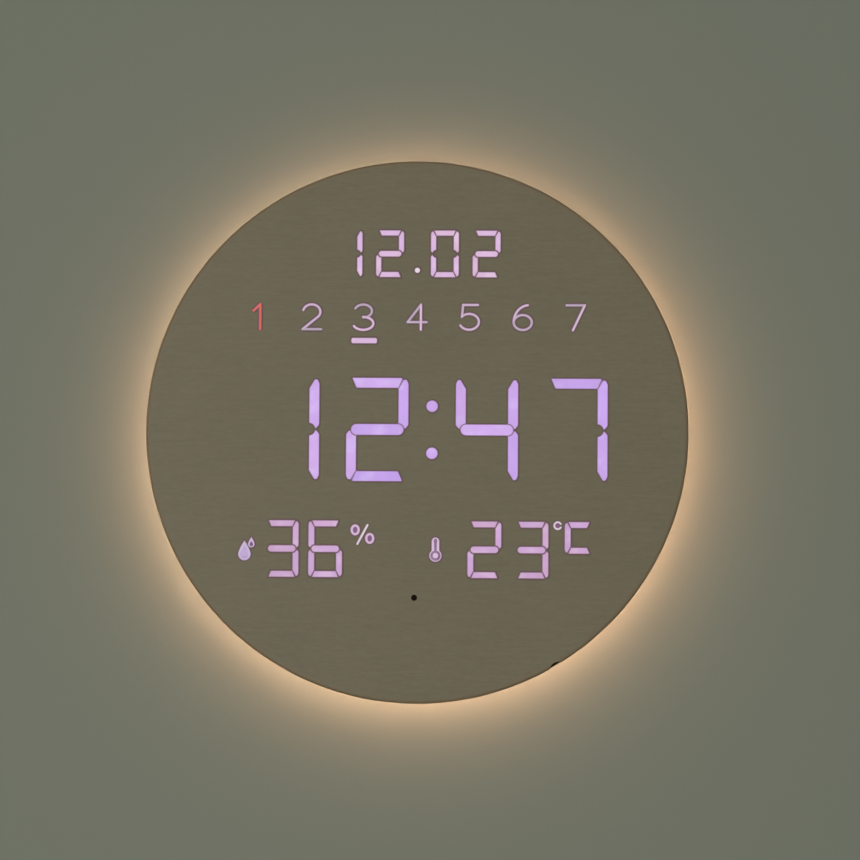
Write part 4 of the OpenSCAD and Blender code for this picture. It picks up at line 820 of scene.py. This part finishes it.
def crowned(loops, back, crown, skirt, rng, white=None):
    """Crowned inlays over outlines (pieces, n, 2).

    Each goes from a pole at the back along its outline's wall, out over a thin skirt on the film, and over a
    crown off = rim + rise * (1 - (1 - v)^2) to a pole in the middle, where v runs from the outline inwards.
    """
    loops = np.asarray(loops)
    hub = loops.mean(1, keepdims=True)
    turn = np.roll(loops, -1, 1) - np.roll(loops, 1, 1)
    outward = np.stack([turn[..., 1], -turn[..., 0]], -1)
    outward /= np.linalg.norm(outward, axis=-1, keepdims=True)
    grown = loops + skirt * outward
    rim = FILM_FRONT + RIM_RISE
    over = [loops + v * (hub - loops) for v in CROWN_STEPS]
    flat = np.stack([loops, loops, grown, grown, *over], 1)
    offs = np.concatenate([[back, FILM_FRONT, FILM_FRONT, FILM_FRONT + LIP_RISE],
                           rim + (crown - rim) * (1 - (1 - CROWN_STEPS) ** 2)])
    rows = on_face(flat[..., 0], flat[..., 1], offs[None, :, None])
    pieces, count, columns = flat.shape[:3]
    inner = edge_distance(np.stack(over, 1).reshape(pieces, -1, 2), loops).reshape(pieces, -1, columns)
    every = np.concatenate(list(loops))[None]
    ahead = np.concatenate(list(np.roll(loops, -1, 1)))[None]
    outer = -path_distance(grown.reshape(1, -1, 2), every, ahead).reshape(pieces, 1, columns)
    edge = np.concatenate([np.zeros((pieces, 2, columns)), outer, outer, inner], 1)
    far = np.linalg.norm(loops - hub, axis=-1).max(1)[:, None, None]
    glow = 1 - np.linalg.norm(flat - hub[:, None], axis=-1) / far
    tone = rng.uniform(0, 1, pieces)
    middles = hub[:, 0]
    points, faces = sheath(rows, *(on_face(middles[:, 0], middles[:, 1], off) for off in (back, crown)))
    deepest = edge_distance(middles[:, None], loops)[:, 0]
    tags = {
        "edge": np.concatenate([edge.ravel(), np.zeros(pieces), deepest]),
        "glow": np.concatenate([glow.ravel(), np.ones(2 * pieces)]),
    }
    for name, values in (("tone", tone), ("white", white)):
        if values is not None:
            tags[name] = np.concatenate([np.repeat(values, count * columns), values, values])
    return points, faces, tags


def ribbons(paths, half, closed, skirt, rng):
    """Strokes on the film: a low arched profile carried along paths (pieces, m, 2) and rounded at open ends.

    Across a stroke the height falls from the middle to both sides and runs out in a thin skirt on the film.
    An open end shrinks with the cosine of steps to a quarter turn and runs on by half a width times the sine.
    """
    paths = np.asarray(paths, float)
    poles = []
    width = np.ones(paths.shape[1])
    if closed:
        run = np.roll(paths, -1, 1) - np.roll(paths, 1, 1)
    else:
        ends = [paths[:, 0] - paths[:, 1], paths[:, -1] - paths[:, -2]]
        ends = [end / np.linalg.norm(end, axis=-1, keepdims=True) for end in ends]
        before = paths[:, :1] + half * np.sin(CAP_ANGLES)[:, None] * ends[0][:, None]
        after = paths[:, -1:] + half * np.sin(CAP_ANGLES[::-1])[:, None] * ends[1][:, None]
        poles = [paths[:, 0] + half * ends[0], paths[:, -1] + half * ends[1]]
        width = np.concatenate([np.cos(CAP_ANGLES), width, np.cos(CAP_ANGLES[::-1])])
        paths = np.concatenate([before, paths, after], 1)
        run = np.gradient(paths, axis=1)
    run /= np.linalg.norm(run, axis=-1, keepdims=True)
    aside = np.stack([-run[..., 1], run[..., 0]], -1)
    hem = 1 + skirt / half
    right = np.concatenate([[hem, hem], STROKE_SHARES])
    share = np.concatenate([-right, right[::-1]])
    lift = np.concatenate([STROKE_LIFTS, STROKE_LIFTS[::-1]])
    flat = paths[:, :, None] + aside[:, :, None] * (half * width[:, None, None] * share[:, None])
    rows = on_face(flat[..., 0], flat[..., 1], FILM_FRONT + (LENS_FRONT - FILM_FRONT) * lift[None, None])
    edge = np.broadcast_to(half * width[:, None] * (1 - np.abs(share)), rows.shape[:3])
    tone = np.broadcast_to(rng.uniform(0, 1, (len(paths), 1, 1)), edge.shape)
    hubs = [on_face(pole[:, 0], pole[:, 1], FILM_FRONT) for pole in poles]
    points, faces = sheath(rows, *hubs, ring=closed)
    extra = np.zeros(len(poles) * len(paths))
    tags = {
        "edge": np.concatenate([edge.ravel(), extra - skirt]),
        "glow": np.concatenate([np.full(edge.size, 0.6), extra]),
        "tone": np.concatenate([tone.ravel(), extra]),
    }
    return points, faces, tags


def joined(*parts):
    """Several sets of points, faces and tags as one."""
    points = np.vstack([part[0] for part in parts])
    starts = np.cumsum([0] + [len(part[0]) for part in parts[:-1]])
    faces = [[corner + start for corner in face] for part, start in zip(parts, starts) for face in part[1]]
    tags = {key: np.concatenate([part[2][key] for part in parts]) for key in parts[0][2]}
    return points, faces, tags


def placed(name, data):
    """An object of a mesh, a lamp or a camera in the scene."""
    thing = bpy.data.objects.new(name, data)
    bpy.context.scene.collection.objects.link(thing)
    return thing


def closed_mesh(name, points, faces):
    """A mesh whose faces all point outwards."""
    mesh = bpy.data.meshes.new(name)
    mesh.from_pydata(points.tolist(), [], faces)
    work = bmesh.new()
    work.from_mesh(mesh)
    bmesh.ops.recalc_face_normals(work, faces=work.faces)
    work.to_mesh(mesh)
    work.free()
    return mesh


def make_piece(name, build, material, slot, *nodes):
    """A smooth closed mesh that rides on the case, takes the given finish and hides the named nodes; the slot
    is not used.
    """
    points, faces, tags = build
    mesh = closed_mesh(name, points, faces)
    for tag, values in tags.items():
        mesh.attributes.new(tag, "FLOAT", "POINT").data.foreach_set("value", values.astype(np.float32))
    mesh.polygons.foreach_set("use_smooth", np.ones(len(mesh.polygons), bool))
    mesh.materials.append(material)
    piece = placed(name, mesh)
    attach(piece, BODY)
    if nodes:
        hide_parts(*nodes)
    return piece


class WALLCLOCK_OT_finishes(bpy.types.Operator):
    """Give every CAD node the finish of its material slot"""

    bl_idname = "wall_clock.finishes"
    bl_label = "Finish the CAD Nodes"

    def execute(self, context):
        made = {slot: slot_material(slot, context.scene) for slot in sorted(set(SLOT_OF.values()))}
        rear = context.scene.wall_clock_rear
        own = {
            "rear_cover": rear_moulding(rear), "battery_door": door_moulding(rear),
            "front_shell": moulded("dull brown shell", (0.02, 0.014, 0.006), 0.75, gloss=0.1),
        }
        for name, node in NODES.items():
            node.data.materials.clear()
            node.data.materials.append(own.get(name) or made[SLOT_OF[name]])
        return {"FINISHED"}


class WALLCLOCK_OT_film(bpy.types.Operator):
    """Make the film over the disc with its rounded rim, sensor hole and rim notch"""

    bl_idname = "wall_clock.film"
    bl_label = "Make the Film"

    def execute(self, context):
        face = context.scene.wall_clock_face
        film_back = FILM_FRONT - face.thick
        hollow = face.fillet - face.thick
        bend = (face.radius - face.fillet, FILM_FRONT - face.fillet)
        front, rear = (np.stack(np.broadcast_arrays(FILM_RADII, off), -1) for off in (FILM_FRONT, film_back))
        edge = [(face.radius, FILM_REAR), (face.radius - face.thick, FILM_REAR)]
        section = np.vstack([
            front, arc(*bend, face.fillet, face.fillet, 90, 0, 17), edge,
            arc(*bend, hollow, hollow, 0, 90, 9), rear[::-1]])
        angle = np.linspace(0.0, 2 * np.pi, FILM_POINTS, endpoint=False)
        rows = on_face(section[:, :1] * np.cos(angle), section[:, :1] * np.sin(angle), section[:, 1:])
        poles = [np.array([(0.0, -off, 0.0)]) for off in (FILM_FRONT, film_back)]
        build = (*sheath(rows[None], *poles), {})
        material = brushed_film("brushed film face", face)
        film = make_piece("face_film_skin", build, material, "brushed_film", "face_film")
        radius, depth, reach = face.notch
        away = face.radius + radius - depth
        notch = (away * math.cos(face.notch_angle), away * math.sin(face.notch_angle))
        self.cut(film, face.sensor_place, face.sensor_radius, SENSOR_DEPTH)
        self.cut(film, notch, radius, reach)
        film.data.set_sharp_from_angle(angle=SHARP_ANGLE)
        return {"FINISHED"}

    @staticmethod
    def cut(piece, centre, radius, depth):
        """Takes a round hole out of a piece, from before the film to a depth behind its front."""
        circle = ellipse(*centre, radius, radius, CUT_POINTS)
        offs = np.array([FILM_FRONT - depth, FILM_FRONT + CUT_REACH])
        rows = on_face(circle[None, None, :, 0], circle[None, None, :, 1], offs[None, :, None])
        hubs = [on_face(*circle.mean(0)[:, None], off) for off in offs]
        cutter = placed("cutter", closed_mesh("cutter", *sheath(rows, *hubs)))
        change = piece.modifiers.new("cut", "BOOLEAN")
        change.operation = "DIFFERENCE"
        change.solver = "EXACT"
        change.object = cutter
        graph = bpy.context.evaluated_depsgraph_get()
        whole = bpy.data.meshes.new_from_object(piece.evaluated_get(graph))
        piece.modifiers.remove(change)
        piece.data = whole
        bpy.data.objects.remove(cutter)


class WALLCLOCK_OT_segments(bpy.types.Operator):
    """Make the lit segments as crowned opal inlays"""

    bl_idname = "wall_clock.segments"
    bl_label = "Make the Lit Segments"

    def execute(self, context):
        scene = context.scene
        display = scene.wall_clock_display
        rng = np.random.default_rng(7)
        violet = lit_opal("lit violet", display.violet, (0.57, 0.36, 0.72), scene, inset=0.00008)
        rose = lit_opal("lit rose", display.rose, (0.6, 0.405, 0.66), scene)
        dusk = lit_opal("lit dusky rose", display.dusk, (0.52, 0.325, 0.58), scene)

        def lens(name, loops, material, slot="lit_rose", white=None):
            build = crowned(loops, LENS_BACK, LENS_FRONT, display.skirt, rng, white)
            make_piece(name + "_glow", build, material, slot, name)

        def dots(across, places, radius):
            return [loop(ellipse(across, up, radius, radius)) for up in places]

        def climate(places, reading):
            centres = [(across, display.climate_up) for across in places]
            return digit_loops(centres, display.climate_digit, reading, display)

        across, up = display.time_place[:2]
        time = digit_loops(pair_centres(display.time_place), display.time_digit, "1247", display)
        time += dots(across, (up - COLON_RISE, up + COLON_RISE), COLON_RADIUS)
        lens("time_lit_segments", time, violet, "lit_violet")
        date = digit_loops(pair_centres(display.date_place), display.date_digit, "1202", display)
        date += dots(0.0, [display.date_place[1] - POINT_DROP], POINT_RADIUS)
        white = np.zeros(len(date))
        white[-1] = 1.0
        lens("date_lit_segments", date, rose, white=white)
        lens("humidity_lit_segments", climate(HUMIDITY_ACROSS, "36"), dusk)
        high, thick = display.climate_digit[1:]
        letter_high = high / 2 + 0.55 * thick
        letter_place = (LETTER_ACROSS, display.climate_up + high / 2 - letter_high / 2)
        letter = digit_loops([letter_place], (LETTER_WIDE, letter_high, thick), "C", display)
        lens("temperature_lit_segments", climate(TEMPERATURE_ACROSS, "23") + letter, dusk)
        low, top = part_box("weekday_lit_bar")
        left, right = low.x + BAR_CORNER, top.x - BAR_CORNER
        under, over = low.z + BAR_CORNER, top.z - BAR_CORNER
        middles = ((right, over), (left, over), (left, under), (right, under))
        corners = [arc(*spot, BAR_CORNER, BAR_CORNER, 90 * turn, 90 * turn + 90, 8)
                   for turn, spot in enumerate(middles)]
        lens("weekday_lit_bar", [loop(np.vstack(corners))], rose)
        return {"FINISHED"}


class WALLCLOCK_OT_marks(bpy.types.Operator):
    """Make the seven weekday marks as plain numerals, the first one red"""

    bl_idname = "wall_clock.marks"
    bl_label = "Make the Weekday Marks"

    def execute(self, context):
        scene = context.scene
        display = scene.wall_clock_display
        rng = np.random.default_rng(11)
        wide, high, thick = display.mark_size
        pale = lit_opal("lit pale mark", display.pale, display.rose, scene)
        red = lit_opal("lit red mark", display.red, tint(display.red, 1.1), scene, milk=0.03)
        for value, strokes in enumerate(NUMERALS, 1):
            centre = ((value - 4) * display.week_pitch, display.week_up)
            paths = [path * (wide, high) + centre for path in strokes]
            build = ribbons(paths, thick / 2, False, MARK_HEM, rng)
            make_piece(f"weekday_mark_{value}", build, red if value == 1 else pale, "lit_rose")
        return {"FINISHED"}


class WALLCLOCK_OT_signs(bpy.types.Operator):
    """Make the percent sign, the degree ring, the drops and the thermometer"""

    bl_idname = "wall_clock.signs"
    bl_label = "Make the Signs"

    def execute(self, context):
        scene = context.scene
        display = scene.wall_clock_display
        rng = np.random.default_rng(13)
        pale = lit_opal("lit pale sign", display.pale, display.rose, scene)
        lilac = lit_opal("lit lilac field", (0.42, 0.29, 0.57), (0.4, 0.27, 0.52), scene, inset=-0.0002)
        dark = lit_opal("dark purple field", (0.16, 0.065, 0.18), (0.18, 0.075, 0.17), scene, inset=-0.0001)
        lavender = lit_opal("lit lavender rim", (0.5, 0.38, 0.58), (0.53, 0.39, 0.55), scene)
        white = lit_opal("lit white line", (0.6, 0.53, 0.53), (0.58, 0.5, 0.56), scene)

        def line(paths, half, closed=False, hem=SIGN_HEM):
            return ribbons(paths, half, closed, hem, rng)

        def field(outlines, crown=LENS_LOW, skirt=0.0):
            return crowned([loop(outline) for outline in outlines], FILM_FRONT, crown, skirt, rng)

        bulb = (THERMOMETER_ACROSS, THERMOMETER_BULB)
        cap = (THERMOMETER_ACROSS, THERMOMETER_TOP - STEM_RADIUS)
        neck = math.degrees(math.acos(STEM_RADIUS / BULB_RADIUS))
        thermometer = np.vstack([
            arc(*bulb, BULB_RADIUS, BULB_RADIUS, 180 - neck, 360 + neck, 44),
            arc(*cap, STEM_RADIUS, STEM_RADIUS, 0, 180, 20)])
        percent_rings = [ellipse(*spot, *PERCENT_RING) for spot in PERCENT_MIDDLES]
        percent_fields = [ellipse(*spot, *PERCENT_FIELD) for spot in PERCENT_MIDDLES]
        signs = (
            ("percent_rings", pale, line(percent_rings, half=0.001, closed=True)),
            ("percent_slash", white, line([stroke(*PERCENT_SLASH)], half=0.0009)),
            ("percent_fields", dark, field(percent_fields)),
            ("degree_ring", white, line([arc(*DEGREE_MIDDLE, *DEGREE_RING, 32, 328, 60)], half=0.0008)),
            ("degree_field", dark, field([ellipse(*DEGREE_MIDDLE, *DEGREE_FIELD)])),
            ("drop_sign", lavender, field([self.drop(*DROP), self.drop(*SMALL_DROP)], skirt=FIELD_HEM)),
            ("drop_core", lilac, field([self.drop(*DROP_CORE)], crown=LENS_FRONT)),
            ("small_drop_core", dark, field([self.drop(*SMALL_DROP_CORE)], crown=LENS_FRONT)),
            ("thermometer_sign", pale, field([thermometer], skirt=FIELD_HEM)),
            ("thermometer_lines", dark, joined(
                line([stroke(*CHANNEL)], half=0.001, hem=LINE_HEM),
                line([stroke(*DOT)], half=0.0013, hem=LINE_HEM),
                line([ellipse(*bulb, BULB_RING, BULB_RING)], half=0.0009, closed=True, hem=LINE_HEM))),
        )
        for name, material, build in signs:
            make_piece(name, build, material, "lit_rose")
        return {"FINISHED"}

    @staticmethod
    def drop(across, up, radius, tip):
        """Outline of a drop: a round foot, and sides that bend in to a tip.

        A side is (1 - s)^2 * foot + 2 * s * (1 - s) * bend + s^2 * tip, and the other side mirrors it.
        """
        share = np.linspace(0.0, 1.0, 14)[1:, None]
        foot = np.array((across + radius * 0.97, up + radius * 0.24))
        bend = np.array((across + radius * 0.7, up + radius * 1.15))
        rise = (1 - share) ** 2 * foot + 2 * share * (1 - share) * bend + share ** 2 * np.array((across, tip))
        fall = (rise[::-1] - (across, 0.0)) * (-1, 1) + (across, 0.0)
        return np.vstack([arc(across, up, radius, radius, -194, 14, 40), rise, fall[1:]])


class WALLCLOCK_OT_stage(bpy.types.Operator):
    """Make the wall, the floor, the lamps and the camera"""

    bl_idname = "wall_clock.stage"
    bl_label = "Make the Stage"

    def execute(self, context):
        stage = context.scene.wall_clock_stage
        self.make_wall(stage)
        self.make_floor(stage)
        self.make_light(context.scene, stage)
        self.make_throw(context.scene.wall_clock_light)
        self.make_camera(context.scene, stage)
        return {"FINISHED"}

    @staticmethod
    def one_sided(name, colour, rough, grain, shown=0.0):
        """Plain paint on the front of a surface; its back lets everything through.

        A share of what is seen of it, straight or in a reflection, is the pale background's own colour.
        """
        paint = Paint(name)
        fine = paint.noise(grain)
        slow = paint.noise(1.3, 2.0)
        front = paint.add("ShaderNodeBsdfPrincipled", None, {
            "Base Color": paint.shades(slow, colour, 0.97, 1.03), "Roughness": rough,
            "Specular IOR Level": 0.2, "Normal": paint.bump(fine, 0.00006)})
        if shown:
            pale = paint.add("ShaderNodeEmission", None, {"Color": PALE, "Strength": 1.0})
            front = paint.blend(paint.seen() * shown, front, pale)
        behind = paint.add("ShaderNodeNewGeometry", out="Backfacing")
        return paint.close(paint.blend(behind, front, paint.add("ShaderNodeBsdfTransparent")))

    @staticmethod
    def backdrop(name, points, faces, material):
        """A stage surface."""
        mesh = bpy.data.meshes.new(name)
        mesh.from_pydata(points.tolist(), [], faces)
        mesh.materials.append(material)
        surface = placed(name, mesh)

    def make_wall(self, stage):
        """Wall: rings about the disc's axis from just inside the drum's edge outwards, facing -Y."""
        radii = np.array([DRUM_RADIUS - 0.0015, 0.17, 0.2, 0.3, 0.6, 1.5, 5.0])[:, None]
        angle = np.linspace(0.0, -2 * np.pi, WALL_POINTS, endpoint=False)
        rows = on_face(radii * np.cos(angle), radii * np.sin(angle), -WALL_BACK)
        self.backdrop("wall", *sheath(rows[None]), self.one_sided("wall paint", stage.wall, 0.85, 420.0))

    def make_floor(self, stage):
        """Floor: one pale square well below the clock, facing up."""
        corners = ((-1, -1), (1, -1), (1, 1), (-1, 1))
        points = np.array([(FLOOR_HALF * x, FLOOR_HALF * y, FLOOR_UP) for x, y in corners])
        paint = self.one_sided("pale floor", stage.floor, 0.6, 90.0, 0.8)
        self.backdrop("floor", points, [(0, 1, 2, 3)], paint)

    @staticmethod
    def lamp(name, power, size, place):
        """A square soft lamp that looks at the middle of the wall."""
        light = bpy.data.lights.new(name, "AREA")
        light.energy = power
        light.size = size
        holder = placed(name, light)
        holder.location = place
        holder.rotation_euler = (-Vector(place)).to_track_quat("-Z", "Y").to_euler()
        return holder

    def make_throw(self, light):
        """Throw of the ring: unseen lamps end to end in two circles round the diffuser, stronger below.

        The first circle is aimed outwards and a little at the wall, the second straight at the wall. A lamp's
        own x axis is the circle's tangent and its -z axis the aim.
        """
        circles = (
            ("throw", light.throw, 0.166, 0.008, 0.3, 0.009, 60),
            ("wash", light.wash, 0.167, 0.0065, 20.0, 0.014, 150),
        )
        for name, power, radius, off, tilt, width, spread in circles:
            size = 2 * math.pi * radius / light.lamps
            for step in range(light.lamps):
                angle = 2 * math.pi * (step + 0.5) / light.lamps
                across = math.cos(angle)
                up = math.sin(angle)
                share = (1 - light.lean * up + 0.15 * light.lean * across) / light.lamps
                lamp = self.lamp(f"{name}_{step}", power * share, size, (radius * across, -off, radius * up))
                aim = Vector((across, tilt, up)).normalized()
                tangent = Vector((-up, 0.0, across))
                lamp.rotation_euler = Matrix((tangent, tangent.cross(aim), -aim)).transposed().to_euler()
                lamp.data.shape = "RECTANGLE"
                lamp.data.size_y = width
                lamp.data.color = light.throw_colour
                lamp.data.spread = math.radians(spread)
                lamp.visible_camera = False

    def make_light(self, scene, stage):
        """Even room light, one large soft lamp in front, two behind for the rear."""
        self.lamp("front_lamp", stage.key, 2.2, (-0.9, -2.6, -0.2))
        self.lamp("rear_lamp_left", stage.rear, 1.2, (-1.3, 1.9, 1.1))
        self.lamp("rear_lamp_right", stage.rear * 0.6, 1.2, (1.5, 1.7, 0.3))
        room = Paint("room", "worlds")
        even = room.add("ShaderNodeBackground", None, {"Color": (1.0, 1.0, 1.0), "Strength": stage.sky})
        pale = room.add("ShaderNodeBackground", None, {"Color": PALE, "Strength": 1.0})
        scene.world = room.close(room.blend(room.seen(), even, pale), "ShaderNodeOutputWorld")
        scene.view_settings.view_transform = "Standard"

    @staticmethod
    def make_camera(scene, stage):
        """Camera: below and a little right of the axis, so that the disc sits where the photograph has it."""
        view = bpy.data.cameras.new("camera")
        view.lens = stage.lens
        view.sensor_width = 36.0
        holder = placed("camera", view)
        reach = PICTURE_WIDTH * stage.lens / view.sensor_width
        back = Vector((math.sin(stage.across) * math.cos(stage.below),
                       -math.cos(stage.across) * math.cos(stage.below), -math.sin(stage.below)))
        turn = (-back).to_track_quat("-Z", "Y")
        holder.rotation_mode = "QUATERNION"
        holder.location = Vector(PICTURE_POINT) + turn @ Vector(PICTURE_SHIFT) + back * reach
        holder.rotation_quaternion = turn @ Matrix.Rotation(stage.roll, 3, "Z").to_quaternion()
        scene.camera = holder


class WALLCLOCK_PT_panel(bpy.types.Panel):
    """Lists the clock's operators and values."""

    bl_idname = "WALLCLOCK_PT_panel"
    bl_label = "Digital Wall Clock"
    bl_space_type = "VIEW_3D"
    bl_region_type = "UI"
    bl_category = "Wall Clock"

    def draw(self, context):
        for operator in OPERATORS:
            self.layout.operator(operator.bl_idname)
        for group in GROUPS:
            values = getattr(context.scene, group)
            box = self.layout.box()
            for key in values.bl_rna.properties.keys():
                if key not in ("rna_type", "name"):
                    box.prop(values, key)


GROUPS = {
    "wall_clock_face": WALLCLOCK_PG_face, "wall_clock_display": WALLCLOCK_PG_display,
    "wall_clock_light": WALLCLOCK_PG_light, "wall_clock_rear": WALLCLOCK_PG_rear,
    "wall_clock_stage": WALLCLOCK_PG_stage,
}
OPERATORS = (
    WALLCLOCK_OT_stage, WALLCLOCK_OT_finishes, WALLCLOCK_OT_film, WALLCLOCK_OT_segments, WALLCLOCK_OT_marks,
    WALLCLOCK_OT_signs,
)
CLASSES = (*GROUPS.values(), *OPERATORS, WALLCLOCK_PT_panel)


def register():
    """Registers the classes and hangs the value groups on the scene."""
    for kind in CLASSES:
        bpy.utils.register_class(kind)
    for name, kind in GROUPS.items():
        setattr(bpy.types.Scene, name, bpy.props.PointerProperty(type=kind))


def unregister():
    """Undoes register."""
    for name in GROUPS:
        delattr(bpy.types.Scene, name)
    for kind in reversed(CLASSES):
        bpy.utils.unregister_class(kind)


def main():
    """Dresses the clock."""
    register()
    bpy.ops.wall_clock.stage()
    bpy.ops.wall_clock.finishes()
    bpy.ops.wall_clock.film()
    bpy.ops.wall_clock.segments()
    bpy.ops.wall_clock.marks()
    bpy.ops.wall_clock.signs()


if __name__ == "__main__":
    main()
